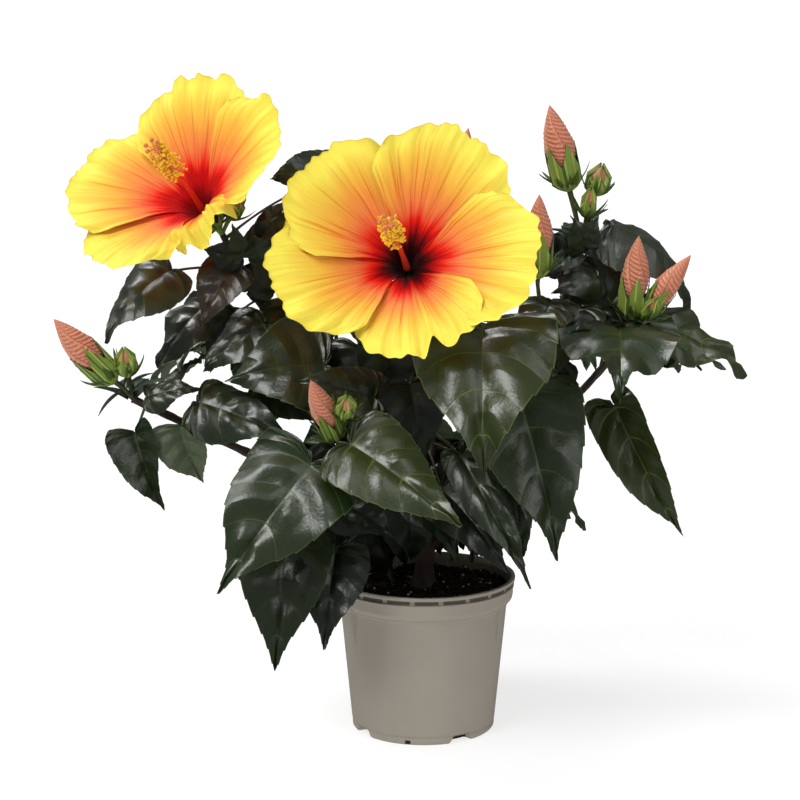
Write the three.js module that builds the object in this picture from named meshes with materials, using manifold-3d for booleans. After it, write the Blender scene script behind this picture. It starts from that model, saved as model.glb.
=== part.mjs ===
// A young hibiscus shrub in its nursery pot: a short trunk, ten boughs, two open blooms,
// clusters of buds and the masses of foliage that make its crown.
// Millimetres, +Z up. The origin is the centre of the pot's flat underside, and the front is -Y.
import * as THREE from "three";
import { mergeVertices } from "three/addons/utils/BufferGeometryUtils.js";
import Module from "manifold-3d";

const wasm = await Module();
wasm.setup();

// ---------------------------------------------------------------- driving sizes
// A bearing is the compass direction in degrees from +X towards +Y, so 270 is the front.
// A rise is the angle above the horizontal, in degrees.

const GAP = 0.35;

const pot = {
  height: 101.6,
  footRadius: 46.6,
  footChamfer: 1,
  bodyTopRadius: 54.6,
  collarBottom: 85.5,
  collarChamfer: 3,
  collarRadius: 58.4,
  grooveBottom: 96.4,
  grooveRadius: 57.9,
  lipBottom: 99.4,
  rimRadius: 60,
  wall: 1.8,
  floor: 2.5,
  segments: 32,
};

const drains = {
  count: 4,
  firstBearing: 302,
  notchWidth: 13,
  notchDepth: 8,
  notchHeight: 3.4,
  holeRadius: 2.2,
  holeHeight: 2.4,
};

const soil = { top: 94, clearance: 0.4, segments: 24 };

const trunk = {
  foot: soil.top + GAP,
  height: 56,
  leanX: 4,
  leanY: 2,
  flareRadius: 9.5,
  lowRadius: 6.2,
  topRadius: 4.2,
  flareShare: 0.16,
  sides: 10,
};

// Each bough leaves the trunk at a height above the underside of the pot. Its rise is the
// mean one, and it turns up by bend over its length.
const boughs = {
  left_low: { height: 122, bearing: 187, rise: 28, length: 214, bend: -4, radii: [3.4, 2.2] },
  left_high: { height: 138, bearing: 173, rise: 54, length: 229, bend: 18, radii: [3.2, 2.0] },
  centre: { height: 152, bearing: 239, rise: 80, length: 148, bend: 6, radii: [3.4, 2.2] },
  front: { height: 122, bearing: 227, rise: 44, length: 112, bend: 10, radii: [2.8, 2.0] },
  right_high: { height: 134, bearing: 358, rise: 62, length: 210, bend: 24, radii: [3.3, 2.1] },
  right: { height: 116, bearing: 356, rise: 48, length: 194, bend: 4, radii: [3.0, 2.0] },
  right_low: { height: 128, bearing: 12, rise: 40, length: 116, bend: -6, radii: [2.4, 1.6] },
  back_left: { height: 130, bearing: 132, rise: 46, length: 158, bend: 10, radii: [3.0, 1.9] },
  back: { height: 145, bearing: 86, rise: 56, length: 168, bend: 12, radii: [2.9, 1.9] },
  back_right: { height: 121, bearing: 44, rise: 44, length: 162, bend: 6, radii: [3.0, 1.9] },
};
const BOUGH_SIDES = 6;
const BOUGH_STEPS = 6;

// An open bloom sits on the end of its bough: a calyx, five petals in a shallow funnel and
// the staminal column along its axis.
const blooms = {
  bloom_front: { on: "centre", bearing: 265, rise: 31, radius: 79, turn: 20 },
  bloom_left: { on: "left_high", bearing: 234, rise: 42, radius: 73, turn: 52 },
};
const bloomForm = {
  calyxLength: 28,
  calyxRadius: 8,
  throatRadius: 10,
  rimDepth: 36,
  petals: 5,
  petalNotch: 0.05,
  thickness: 4.5,
  columnLength: 72,
  columnRadius: 4.5,
  rings: [0, 0.4, 1],
  segments: 20,
};

// Buds stand on the ends of the boughs, as [bearing, rise, reach to the tip, radius].
const buds = {
  buds_left_tip: { on: "left_low", heads: [[190, 47, 69, 12], [257, 77, 36, 10]] },
  buds_front: { on: "front", heads: [[237, 57, 53, 11], [285, 52, 46, 8]] },
  buds_top_right: { on: "right_high", heads: [[188, 75, 90, 12], [10, 77, 52, 10]] },
  buds_right: { on: "right", heads: [[311, 86, 64, 12], [0, 55, 63, 11], [345, 52, 36, 8]] },
  buds_back: { on: "back", heads: [[70, 70, 62, 11], [140, 55, 34, 8]] },
};
// Buds that stand on a stalk of their own, off the side of a bough.
const sideBuds = {
  bud_beside_bloom: { on: "right_high", at: 0.66, stalk: [260, 58, 54], head: [270, 87, 57, 11] },
  bud_behind_bloom: { on: "centre", at: 0.9, stalk: [45, 54, 67], head: [30, 80, 57, 10] },
};

// Foliage. Each mass hangs from a bough by a stalk, [bearing, rise, length], and spreads as a
// blade, [bearing, rise, length, width], whose upper side faces [bearing, rise]. It arches over
// by arch degrees from its base to its tip.
const foliage = {
  left_tip_hanging: { on: "left_low", at: 0.95, stalk: [225, -40, 17], blade: [331, -67, 53, 40], faces: [255, 20] },
  left_tip_small: { on: "left_low", at: 0.9, stalk: [240, 40, 21], blade: [353, 10, 36, 24], faces: [270, 45] },
  left_under: { on: "left_low", at: 0.82, stalk: [262, 5, 17], blade: [25, -72, 40, 50], faces: [250, 25] },
  left_inward: { on: "left_low", at: 0.78, stalk: [275, 40, 37], blade: [346, -21, 66, 44], faces: [270, 45] },
  left_inner: { on: "left_high", at: 0.42, stalk: [264, 43, 58], blade: [195, -2, 60, 60], faces: [268, 35] },
  left_inner_high: { on: "left_high", at: 0.6, stalk: [237, 38, 41], blade: [194, -31, 50, 48], faces: [262, 40] },
  left_mid: { on: "left_high", at: 0.72, stalk: [176, 14, 44], blade: [203, -50, 56, 42], faces: [245, 35], arch: 40 },
  left_red: { on: "left_high", at: 0.9, stalk: [267, 8, 37], blade: [215, -55, 46, 36], faces: [262, 20] },
  left_far: { on: "left_high", at: 0.88, stalk: [204, -5, 40], blade: [197, -44, 58, 44], faces: [250, 45], arch: 50 },
  between_blooms: { on: "centre", at: 0.93, stalk: [145, 54, 94], blade: [191, 1, 46, 44], faces: [262, 50] },
  under_left_bloom: { on: "left_high", at: 0.74, stalk: [310, 3, 25], blade: [332, -41, 44, 42], faces: [275, 30] },
  front_low_left: { on: "front", at: 0.82, stalk: [230, 12, 40], blade: [206, -51, 99, 78], faces: [262, 28], arch: 35 },
  front_low_left_under: { on: "front", at: 0.45, stalk: [210, -3, 62], blade: [237, -69, 86, 62], faces: [262, 15] },
  front_hanging: { on: "front", at: 0.32, stalk: [231, -9, 62], blade: [245, -72, 64, 48], faces: [262, 12], arch: 15 },
  front_shade: { on: "front", at: 0.45, stalk: [218, 12, 42], blade: [348, -30, 46, 40], faces: [275, 50] },
  front_low_right: { on: "front", at: 0.9, stalk: [273, 27, 33], blade: [336, -32, 87, 62], faces: [275, 42] },
  front_back_of_bud: { on: "front", at: 0.66, stalk: [294, 78, 58], blade: [192, 15, 52, 40], faces: [268, 40] },
  centre_wide: { on: "centre", at: 0.62, stalk: [312, 29, 70], blade: [266, -57, 99, 96], faces: [268, 35], arch: 60 },
  centre_shade: { on: "centre", at: 0.3, stalk: [283, -29, 45], blade: [324, -40, 63, 50], faces: [272, 45] },
  centre_hanging: { on: "centre", at: 0.35, stalk: [300, -9, 48], blade: [322, -58, 86, 34], faces: [285, 25] },
  right_drooping: { on: "right_low", at: 0.3, stalk: [319, 47, 42], blade: [314, -64, 66, 44], faces: [275, 20] },
  right_large: { on: "centre", at: 0.45, stalk: [340, 12, 67], blade: [313, -68, 110, 76], faces: [277, 28] },
  right_hanging: { on: "right_low", at: 0.98, stalk: [341, 23, 31], blade: [354, -57, 101, 38], faces: [240, 15] },
  right_broad: { on: "right", at: 0.95, stalk: [268, 50, 22], blade: [263, -23, 77, 84], faces: [272, 60], arch: 35 },
  right_glossy: { on: "right", at: 0.84, stalk: [312, 71, 38], blade: [221, -10, 51, 38], faces: [265, 55] },
  right_behind: { on: "right", at: 0.92, stalk: [98, 68, 31], blade: [153, 40, 54, 50], faces: [262, 30] },
  right_far: { on: "right", at: 0.985, stalk: [14, 34, 21], blade: [351, -26, 71, 46], faces: [262, 50] },
  right_arching: { on: "right_high", at: 0.88, stalk: [13, 45, 49], blade: [8, -47, 67, 42], faces: [352, 43], arch: 95 },
  bloom_right_low: { on: "right_high", at: 0.52, stalk: [305, 64, 66], blade: [231, -41, 40, 36], faces: [268, 45] },
  back_low_left: { on: "back_left", at: 0.45, stalk: [165, 10, 38], blade: [152, -40, 92, 72], faces: [150, 45], arch: 40 },
  back_far_left: { on: "back_left", at: 0.98, stalk: [170, 20, 26], blade: [172, -24, 84, 66], faces: [165, 60], arch: 45 },
  back_top_left: { on: "back_left", at: 0.8, stalk: [95, 60, 34], blade: [112, -5, 84, 66], faces: [110, 70], arch: 50 },
  back_low: { on: "back", at: 0.35, stalk: [110, 0, 44], blade: [100, -52, 96, 74], faces: [98, 35], arch: 35 },
  back_mid: { on: "back", at: 0.7, stalk: [60, 25, 34], blade: [76, -38, 94, 72], faces: [80, 45], arch: 45 },
  back_top: { on: "back", at: 0.85, stalk: [150, 50, 30], blade: [168, 5, 80, 62], faces: [130, 60], arch: 40 },
  back_low_right: { on: "back_right", at: 0.45, stalk: [40, 5, 38], blade: [58, -46, 90, 70], faces: [50, 42], arch: 40 },
  back_far_right: { on: "back_right", at: 0.98, stalk: [10, 25, 24], blade: [40, -14, 84, 64], faces: [40, 65], arch: 45 },
  back_top_right: { on: "back_right", at: 0.8, stalk: [88, 60, 34], blade: [84, -5, 82, 64], faces: [80, 70], arch: 50 },
};
const bladeForm = {
  arch: 28,
  thickness: 0.07,
  leastThickness: 1.5,
  stalkRadius: 1.7,
  unevenness: 0.1,
  stations: [0.0, 0.12, 0.34, 0.58, 0.81, 1.0],
};

// ---------------------------------------------------------------- materials

const finish = (color, roughness) => new THREE.MeshStandardMaterial({ color, roughness, metalness: 0 });
const looks = {
  pot: () => finish(0x968f85, 0.5),
  soil: () => finish(0x1d130d, 0.95),
  bark: () => finish(0x3f2a20, 0.8),
  bloom: () => finish(0xf7a92c, 0.6),
  bud: () => finish(0xc9744c, 0.6),
  leaf: () => finish(0x24361d, 0.4),
};

// ---------------------------------------------------------------- small tools

const rad = THREE.MathUtils.degToRad;

function heading(bearing, rise) {
  const flat = Math.cos(rad(rise));
  return new THREE.Vector3(flat * Math.cos(rad(bearing)), flat * Math.sin(rad(bearing)), Math.sin(rad(rise)));
}

function solidFromArrays(positions, faces) {
  const mesh = new wasm.Mesh({
    numProp: 3,
    vertProperties: new Float32Array(positions),
    triVerts: new Uint32Array(faces),
  });
  return new wasm.Manifold(mesh);
}

// A three.js geometry as a solid: its seams are merged and its collapsed triangles dropped.
function solidFromGeometry(geometry) {
  const plain = geometry.clone();
  plain.deleteAttribute("normal");
  plain.deleteAttribute("uv");
  const merged = mergeVertices(plain, 1e-4);
  const index = Array.from(merged.index.array);
  const faces = [];
  for (let i = 0; i < index.length; i += 3) {
    const [a, b, c] = index.slice(i, i + 3);
    if (a !== b && b !== c && a !== c) {
      faces.push(a, b, c);
    }
  }
  return solidFromArrays(merged.attributes.position.array, faces);
}

function signedVolume(positions, faces) {
  const corner = (i) => new THREE.Vector3().fromArray(positions, 3 * i);
  let total = 0;
  for (let i = 0; i < faces.length; i += 3) {
    total += corner(faces[i]).dot(corner(faces[i + 1]).cross(corner(faces[i + 2])));
  }
  return total / 6;
}

// A closed skin over rings of equal point counts, with a fan over each end.
function skin(rings) {
  const sides = rings[0].length;
  const positions = rings.flat().flatMap((p) => [p.x, p.y, p.z]);
  const faces = [];
  for (let r = 0; r + 1 < rings.length; r += 1) {
    for (let s = 0; s < sides; s += 1) {
      const next = (s + 1) % sides;
      const [a, b] = [r * sides + s, r * sides + next];
      faces.push(a, b, b + sides, a, b + sides, a + sides);
    }
  }
  for (const [first, flip] of [[0, true], [(rings.length - 1) * sides, false]]) {
    for (let s = 1; s + 1 < sides; s += 1) {
      faces.push(first, first + s + (flip ? 1 : 0), first + s + (flip ? 0 : 1));
    }
  }
  if (signedVolume(positions, faces) < 0) {
    faces.reverse();
  }
  return solidFromArrays(positions, faces);
}

// A round limb through points, with its radius at each. side is square to the limb's plane.
function limb(points, radii, side, sides) {
  const rings = points.map((point, i) => {
    const along = points[Math.min(i + 1, points.length - 1)].clone();
    along.sub(points[Math.max(i - 1, 0)]).normalize();
    const across = side.clone().addScaledVector(along, -side.dot(along)).normalize();
    const up = across.clone().cross(along);
    return Array.from({ length: sides }, (_, s) => {
      const turn = (2 * Math.PI * s) / sides;
      const rim = point.clone().addScaledVector(across, radii[i] * Math.cos(turn));
      return rim.addScaledVector(up, radii[i] * Math.sin(turn));
    });
  });
  return skin(rings);
}

function anySideOf(direction) {
  const up = Math.abs(direction.z) < 0.9 ? new THREE.Vector3(0, 0, 1) : new THREE.Vector3(1, 0, 0);
  return up.cross(direction).normalize();
}

// A straight limb, made longer and fatter all round by extra.
function rod(from, to, startRadius, endRadius, extra, sides = 6) {
  const along = to.clone().sub(from).normalize();
  const ends = [from.clone().addScaledVector(along, -extra), to.clone().addScaledVector(along, extra)];
  return limb(ends, [startRadius + extra, endRadius + extra], anySideOf(along), sides);
}

// Which limbs and masses stand already, as solids a little larger than they are.
const standing = [];

// Keeps a new solid clear of everything that stands, and its largest piece if it is cut.
function claim(build) {
  let solid = build(0);
  for (const other of standing) {
    solid = solid.subtract(other);
  }
  const pieces = solid.decompose().sort((a, b) => b.volume() - a.volume());
  standing.push(build(GAP));
  return pieces[0];
}

function meshOf(name, solid, material) {
  const { vertProperties, triVerts } = solid.getMesh();
  const geometry = new THREE.BufferGeometry();
  geometry.setAttribute("position", new THREE.BufferAttribute(Float32Array.from(vertProperties), 3));
  geometry.setIndex(new THREE.BufferAttribute(Uint32Array.from(triVerts), 1));
  geometry.computeVertexNormals();
  const mesh = new THREE.Mesh(geometry, material);
  mesh.name = name;
  return mesh;
}

// ---------------------------------------------------------------- pot and soil

const onProfile = (pairs) => pairs.map(([radius, height]) => new THREE.Vector2(radius, height));

function latheZ(pairs, segments) {
  const geometry = new THREE.LatheGeometry(onProfile(pairs), segments);
  return geometry.rotateX(Math.PI / 2);
}

function innerRadius(height) {
  const share = (height - pot.floor) / (pot.collarBottom - pot.floor);
  return THREE.MathUtils.lerp(pot.footRadius, pot.bodyTopRadius, share) - pot.wall;
}

function buildPot() {
  const collarInner = pot.grooveRadius - pot.wall;
  const shell = solidFromGeometry(latheZ([
    [0, 0],
    [pot.footRadius - pot.footChamfer, 0],
    [pot.footRadius, pot.footChamfer],
    [pot.bodyTopRadius, pot.collarBottom],
    [pot.collarRadius, pot.collarBottom + pot.collarChamfer],
    [pot.collarRadius + 0.6, pot.grooveBottom],
    [pot.grooveRadius, pot.grooveBottom],
    [pot.grooveRadius, pot.lipBottom],
    [pot.rimRadius, pot.lipBottom],
    [pot.rimRadius, pot.height],
    [pot.rimRadius - pot.wall - 1, pot.height],
    [collarInner, pot.grooveBottom],
    [collarInner, pot.collarBottom + pot.collarChamfer],
    [innerRadius(pot.collarBottom), pot.collarBottom],
    [innerRadius(pot.floor), pot.floor],
    [0, pot.floor],
  ], pot.segments));
  let cut = shell;
  for (let i = 0; i < drains.count; i += 1) {
    const bearing = drains.firstBearing + (360 * i) / drains.count;
    const notch = new THREE.BoxGeometry(2 * drains.notchDepth, drains.notchWidth, 2 * drains.notchHeight);
    notch.translate(pot.footRadius, 0, 0).rotateZ(rad(bearing));
    const hole = new THREE.CylinderGeometry(drains.holeRadius, drains.holeRadius, 4 * pot.wall, 8);
    hole.rotateZ(Math.PI / 2).translate(pot.footRadius, 0, drains.holeHeight);
    hole.rotateZ(rad(bearing + 180 / drains.count));
    cut = cut.subtract(solidFromGeometry(notch)).subtract(solidFromGeometry(hole));
  }
  return meshOf("pot", cut, looks.pot());
}

function buildSoil() {
  const bottom = pot.floor + soil.clearance;
  const topRadius = pot.grooveRadius - pot.wall - soil.clearance;
  const form = solidFromGeometry(latheZ([
    [0, bottom],
    [innerRadius(bottom) - soil.clearance, bottom],
    [innerRadius(pot.collarBottom) - soil.clearance, pot.collarBottom],
    [topRadius, pot.collarBottom + pot.collarChamfer],
    [topRadius, soil.top],
    [0, soil.top],
  ], soil.segments));
  return meshOf("soil", form, looks.soil());
}

// ---------------------------------------------------------------- trunk and boughs

const trunkFoot = new THREE.Vector3(0, 0, trunk.foot);
const trunkTop = new THREE.Vector3(trunk.leanX, trunk.leanY, trunk.foot + trunk.height);
const onTrunk = (height) => trunkFoot.clone().lerp(trunkTop, (height - trunk.foot) / trunk.height);

function buildTrunk() {
  const shares = [0, trunk.flareShare / 2, trunk.flareShare, 0.5, 1];
  const radii = [
    trunk.flareRadius,
    (trunk.flareRadius + 2 * trunk.lowRadius) / 3,
    trunk.lowRadius,
    (trunk.lowRadius + trunk.topRadius) / 2,
    trunk.topRadius,
  ];
  const form = (extra) => {
    const points = shares.map((share) => trunkFoot.clone().lerp(trunkTop, share));
    points[0].z -= extra;
    points[points.length - 1].z += extra;
    const fat = radii.map((radius) => radius + extra);
    const rings = points.map((point, i) => Array.from({ length: trunk.sides }, (_, s) => {
      const turn = (2 * Math.PI * s) / trunk.sides;
      return point.clone().add(new THREE.Vector3(fat[i] * Math.cos(turn), fat[i] * Math.sin(turn), 0));
    }));
    return skin(rings);
  };
  return meshOf("trunk", claim(form), looks.bark());
}

// The centre line of a bough: an arc in the upright plane of its bearing.
function boughLine({ height, bearing, rise, length, bend }) {
  const points = [onTrunk(Math.min(height, trunkTop.z))];
  for (let i = 0; i < BOUGH_STEPS; i += 1) {
    const now = rise + bend * ((i + 0.5) / BOUGH_STEPS - 0.5);
    const last = points[points.length - 1];
    points.push(last.clone().addScaledVector(heading(bearing, now), length / BOUGH_STEPS));
  }
  return points;
}

const boughLines = Object.fromEntries(Object.entries(boughs).map(([name, size]) => [name, boughLine(size)]));

function onBough(name, share) {
  const line = boughLines[name];
  const place = share * (line.length - 1);
  const step = Math.min(Math.floor(place), line.length - 2);
  return line[step].clone().lerp(line[step + 1], place - step);
}

const boughRadius = (name, share) => THREE.MathUtils.lerp(...boughs[name].radii, share);

function buildBough(name) {
  const { bearing, radii } = boughs[name];
  const line = boughLines[name];
  const form = (extra) => {
    const points = line.map((point) => point.clone());
    points[points.length - 1].add(points.at(-1).clone().sub(points.at(-2)).setLength(extra));
    const fat = line.map((_, i) => THREE.MathUtils.lerp(...radii, i / BOUGH_STEPS) + extra);
    return limb(points, fat, heading(bearing + 90, 0), BOUGH_SIDES);
  };
  return meshOf(`bough_${name}`, claim(form), looks.bark());
}

// ---------------------------------------------------------------- blooms and buds

// Rings of a bloom's funnel, from its back centre out over the rim and in to its throat.
function funnelRings(base, axis, across, up, radius, turn, extra) {
  const f = bloomForm;
  const half = f.thickness / 2 + extra;
  const rim = (share) => f.throatRadius + (radius - f.throatRadius) * share;
  const height = (share) => f.calyxLength + f.rimDepth * Math.pow(share, 0.8);
  const outline = (angle) => 1 + f.petalNotch * Math.cos(f.petals * (angle - rad(turn)));
  const ring = (spread, lift, share) => Array.from({ length: f.segments }, (_, s) => {
    const angle = (2 * Math.PI * s) / f.segments;
    const reach = spread * THREE.MathUtils.lerp(1, outline(angle), share);
    const point = base.clone().addScaledVector(axis, lift);
    point.addScaledVector(across, reach * Math.cos(angle));
    return point.addScaledVector(up, reach * Math.sin(angle));
  });
  const back = f.rings.map((share) => ring(rim(share) + extra, height(share) - half, share));
  const front = f.rings.map((share) => ring(rim(share) + extra, height(share) + half, share));
  return [...back, ...front.reverse()];
}

function bloomSolid({ on, bearing, rise, radius, turn }, extra) {
  const f = bloomForm;
  const axis = heading(bearing, rise);
  const foot = onBough(on, 1).addScaledVector(axis, boughRadius(on, 1) + GAP);
  const across = anySideOf(axis);
  const up = axis.clone().cross(across);
  const along = (distance) => foot.clone().addScaledVector(axis, distance);
  const funnel = skin(funnelRings(foot, axis, across, up, radius, turn, extra));
  const calyx = rod(along(0), along(f.calyxLength), 2.5, f.calyxRadius, extra, 10);
  const columnEnd = along(f.calyxLength + f.columnLength);
  const column = rod(along(f.calyxLength - 2), columnEnd, f.columnRadius, f.columnRadius, extra, 8);
  return funnel.add(calyx).add(column);
}

// A bud: a slim stalk that swells to its calyx and draws in to its tip.
function budSolid(foot, [bearing, rise, reach, radius], extra) {
  const axis = heading(bearing, rise);
  const shares = [0, 0.22, 0.42, 0.62, 0.84, 1];
  const swell = [0.2, 0.5, 0.98, 0.92, 0.45, 0.08];
  const points = shares.map((share) => foot.clone().addScaledVector(axis, share * (reach + extra)));
  points[0].addScaledVector(axis, -extra);
  return limb(points, swell.map((share) => share * radius + extra), anySideOf(axis), BOUGH_SIDES);
}

function budsSolid({ on, heads }, extra) {
  const foot = onBough(on, 1);
  const out = foot.clone().sub(onBough(on, 0.9)).setLength(boughRadius(on, 1) + GAP);
  foot.add(out);
  return heads.map((head) => budSolid(foot, head, extra)).reduce((all, one) => all.add(one));
}

function sideBudSolid({ on, at, stalk, head }, extra) {
  const foot = onBough(on, at);
  const knee = foot.clone().addScaledVector(heading(stalk[0], stalk[1]), stalk[2]);
  return rod(foot, knee, bladeForm.stalkRadius, bladeForm.stalkRadius, extra).add(budSolid(knee, head, extra));
}

// ---------------------------------------------------------------- foliage

// How wide a blade is along its length, from its base to its tip, as a share of its width.
const bladeShare = (along) => Math.pow(Math.sin(Math.PI * Math.pow(along, 0.65)), 0.85) || 0;

function bladeSolid(knee, order, { blade, faces, arch = bladeForm.arch }, extra) {
  const [bearing, rise, length, width] = blade;
  const chord = heading(bearing, rise);
  const normal = heading(...faces);
  normal.addScaledVector(chord, -normal.dot(chord)).normalize();
  const across = chord.clone().cross(normal);
  const halfArch = rad(arch) / 2;
  const radius = length / (2 * Math.sin(halfArch));
  const rings = bladeForm.stations.map((along, i) => {
    const turn = halfArch * (1 - 2 * along);
    const centre = knee.clone().addScaledVector(chord, length / 2 - radius * Math.sin(turn));
    centre.addScaledVector(normal, radius * (Math.cos(turn) - Math.cos(halfArch)));
    const out = normal.clone().multiplyScalar(Math.cos(turn)).addScaledVector(chord, -Math.sin(turn));
    const share = Math.max(bladeShare(along), 0.03);
    const sideways = (flank) => {
      const uneven = 1 + bladeForm.unevenness * Math.sin(2.3 * order + 1.9 * i + 3 * flank);
      return (width / 2) * share * uneven + extra;
    };
    const thick = Math.max(bladeForm.thickness * width * Math.sqrt(share), bladeForm.leastThickness) + extra;
    const [left, right] = [sideways(0), sideways(1)];
    const corner = (x, y) => centre.clone().addScaledVector(across, x).addScaledVector(out, y);
    return [corner(right, 0), corner(0, thick), corner(-left, 0), corner(0, -thick)];
  });
  return skin(rings);
}

function massSolid(order, size, extra) {
  const [bearing, rise, reach] = size.stalk;
  const foot = onBough(size.on, size.at);
  const knee = foot.clone().addScaledVector(heading(bearing, rise), reach);
  const stalk = rod(foot, knee, bladeForm.stalkRadius, bladeForm.stalkRadius, extra);
  return stalk.add(bladeSolid(knee, order, size, extra));
}

// ---------------------------------------------------------------- assembly

const group = new THREE.Group();
group.add(buildPot(), buildSoil(), buildTrunk());
for (const name of Object.keys(boughs)) {
  group.add(buildBough(name));
}
for (const [name, size] of Object.entries(blooms)) {
  group.add(meshOf(name, claim((extra) => bloomSolid(size, extra)), looks.bloom()));
}
for (const [name, size] of Object.entries(buds)) {
  group.add(meshOf(name, claim((extra) => budsSolid(size, extra)), looks.bud()));
}
for (const [name, size] of Object.entries(sideBuds)) {
  group.add(meshOf(name, claim((extra) => sideBudSolid(size, extra)), looks.bud()));
}
Object.entries(foliage).forEach(([name, size], order) => {
  group.add(meshOf(`leaves_${name}`, claim((extra) => massSolid(order, size, extra)), looks.leaf()));
});

export default group;
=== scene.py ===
"""A young hibiscus shrub in its nursery pot, with two open blooms, twisted buds and glossy leaves.

Metres, +Z up, the front is -Y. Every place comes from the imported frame: the limbs, leaf stalks,
blades, blooms and buds are grown along the axes of the CAD nodes that they stand for.
"""
import math
import zlib

import bpy
import numpy as np
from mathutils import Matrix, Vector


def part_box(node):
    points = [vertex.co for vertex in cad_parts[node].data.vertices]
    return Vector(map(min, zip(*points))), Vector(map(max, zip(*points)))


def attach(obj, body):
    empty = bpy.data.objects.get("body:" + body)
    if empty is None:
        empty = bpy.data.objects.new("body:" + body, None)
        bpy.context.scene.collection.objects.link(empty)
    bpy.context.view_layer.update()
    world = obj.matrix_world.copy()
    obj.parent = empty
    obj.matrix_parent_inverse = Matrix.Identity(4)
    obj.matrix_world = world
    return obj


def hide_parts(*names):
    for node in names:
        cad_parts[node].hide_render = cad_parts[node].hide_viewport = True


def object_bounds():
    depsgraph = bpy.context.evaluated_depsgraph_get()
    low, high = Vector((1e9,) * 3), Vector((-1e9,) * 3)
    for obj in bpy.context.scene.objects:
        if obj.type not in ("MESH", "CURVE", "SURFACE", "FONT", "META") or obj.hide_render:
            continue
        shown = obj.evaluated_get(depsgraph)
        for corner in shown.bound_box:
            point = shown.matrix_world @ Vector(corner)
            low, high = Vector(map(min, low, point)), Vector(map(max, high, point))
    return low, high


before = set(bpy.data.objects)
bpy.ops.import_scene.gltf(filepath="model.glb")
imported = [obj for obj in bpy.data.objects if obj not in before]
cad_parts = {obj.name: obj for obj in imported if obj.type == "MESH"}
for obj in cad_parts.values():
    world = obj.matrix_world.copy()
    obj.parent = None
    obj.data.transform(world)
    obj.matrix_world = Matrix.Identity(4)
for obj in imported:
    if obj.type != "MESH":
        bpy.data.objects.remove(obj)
cad_box = [list(corner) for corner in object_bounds()]

MM = 0.001
UP = np.array([0.0, 0.0, 1.0])
TO_FRONT = np.array([0.0, -1.0, 0.0])


# ---------------------------------------------------------------- small tools


def dice(name):
    """A random generator that belongs to a name, so that one piece's draws never move another's."""
    return np.random.default_rng(zlib.crc32(name.encode()))


def unit(v):
    return v / np.linalg.norm(v, axis=-1, keepdims=True)


def mix(a, b, share):
    return a + (b - a) * share


def smoothstep(x, low=0.0, high=1.0):
    t = np.clip((x - low) / (high - low), 0, 1)
    return t * t * (3 - 2 * t)


def square_to(v, direction):
    """The part of v that is square to a unit direction, as a unit vector."""
    return unit(v - direction * np.sum(v * direction, axis=-1, keepdims=True))


def turned(v, axis, angle):
    """v turned about a unit axis, in radians."""
    cos, sin = np.cos(angle), np.sin(angle)
    return v * cos + np.cross(axis, v) * sin + axis * (np.dot(axis, v) * (1 - cos))


def any_side_of(direction):
    return square_to(UP if abs(direction[2]) < 0.9 else TO_FRONT, direction)


def side_and_up(axis):
    """Two directions that are square to a unit axis and to each other."""
    side = any_side_of(axis)
    return side, np.cross(axis, side)


def ring_offset(radius, angle, side, up):
    """Where a place at a radius and an angle is from its ring's middle. side and up span the ring."""
    return (radius * np.cos(angle))[..., None] * side + (radius * np.sin(angle))[..., None] * up


def along_and_beside(off, axis):
    """How far offsets run along a unit axis, and how far they are from it."""
    along = off @ axis
    return along, np.linalg.norm(off - np.outer(along, axis), axis=1)


# ---------------------------------------------------------------- reading the frame


def mesh_corners(node):
    """The corner points of a CAD node, in the order of its mesh."""
    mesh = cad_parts[node].data
    flat = np.empty(3 * len(mesh.vertices))
    mesh.vertices.foreach_get("co", flat)
    return flat.reshape(-1, 3)


def corners_of(node):
    """The separate corner points of a CAD node."""
    return np.unique(np.round(mesh_corners(node), 6), axis=0)


def nodes_named(prefix):
    return sorted(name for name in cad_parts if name.startswith(prefix))


class Line:
    """A smooth line through the middle of a slender solid, from start to its far end."""

    def __init__(self, points, start):
        chord = points[np.argmax(np.linalg.norm(points - start, axis=1))] - start
        share = (points - start) @ chord / (chord @ chord)
        self.factors = [np.polyfit(share, points[:, k], 3) for k in range(3)]
        self.last = share.max()
        off = np.linalg.norm(points - self.at(share), axis=1)
        self.taper = np.polyfit(share, off, 1)

    def at(self, share):
        return np.stack([np.polyval(f, share) for f in self.factors], -1)

    def radius(self, share):
        return np.polyval(self.taper, share)


def trunk_line():
    points = corners_of("trunk")
    low = points[points[:, 2] < points[:, 2].min() + 1e-4].mean(axis=0)
    high = points[points[:, 2] > points[:, 2].max() - 1e-4].mean(axis=0)
    return low, high


trunk_foot, trunk_top = trunk_line()


def trunk_gap(points):
    """How far points are from the trunk's axis."""
    return along_and_beside(points - trunk_foot, unit(trunk_top - trunk_foot))[1]


def bough_line(node):
    """A bough's line, carried back to the trunk's axis."""
    points = corners_of(node)
    near = points[np.argsort(trunk_gap(points))[:6]].mean(axis=0)
    line = Line(points, near)
    back = np.linspace(-0.4, 0.1, 101)
    line.first = back[np.argmin(trunk_gap(line.at(back)))]
    return line


boughs = {node: bough_line(node) for node in nodes_named("bough_")}


def bough_samples():
    shares = np.linspace(0, 1, 60)
    return np.concatenate([line.at(shares * line.last) for line in boughs.values()])


bough_points = bough_samples()
STALK_REACH = 3.5 * MM
STALK_HALF = 2.4 * MM
BUD_STALK_HALF = 1.4 * STALK_HALF
BUD_TIP_REACH = 2.5 * MM
LEAST_STALK = 8 * MM
LEAST_RING = 4


def cluster(points, centre, reach):
    """The middle of the corners that stand close round a point."""
    return points[np.linalg.norm(points - centre, axis=1) < reach].mean(axis=0)


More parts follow.
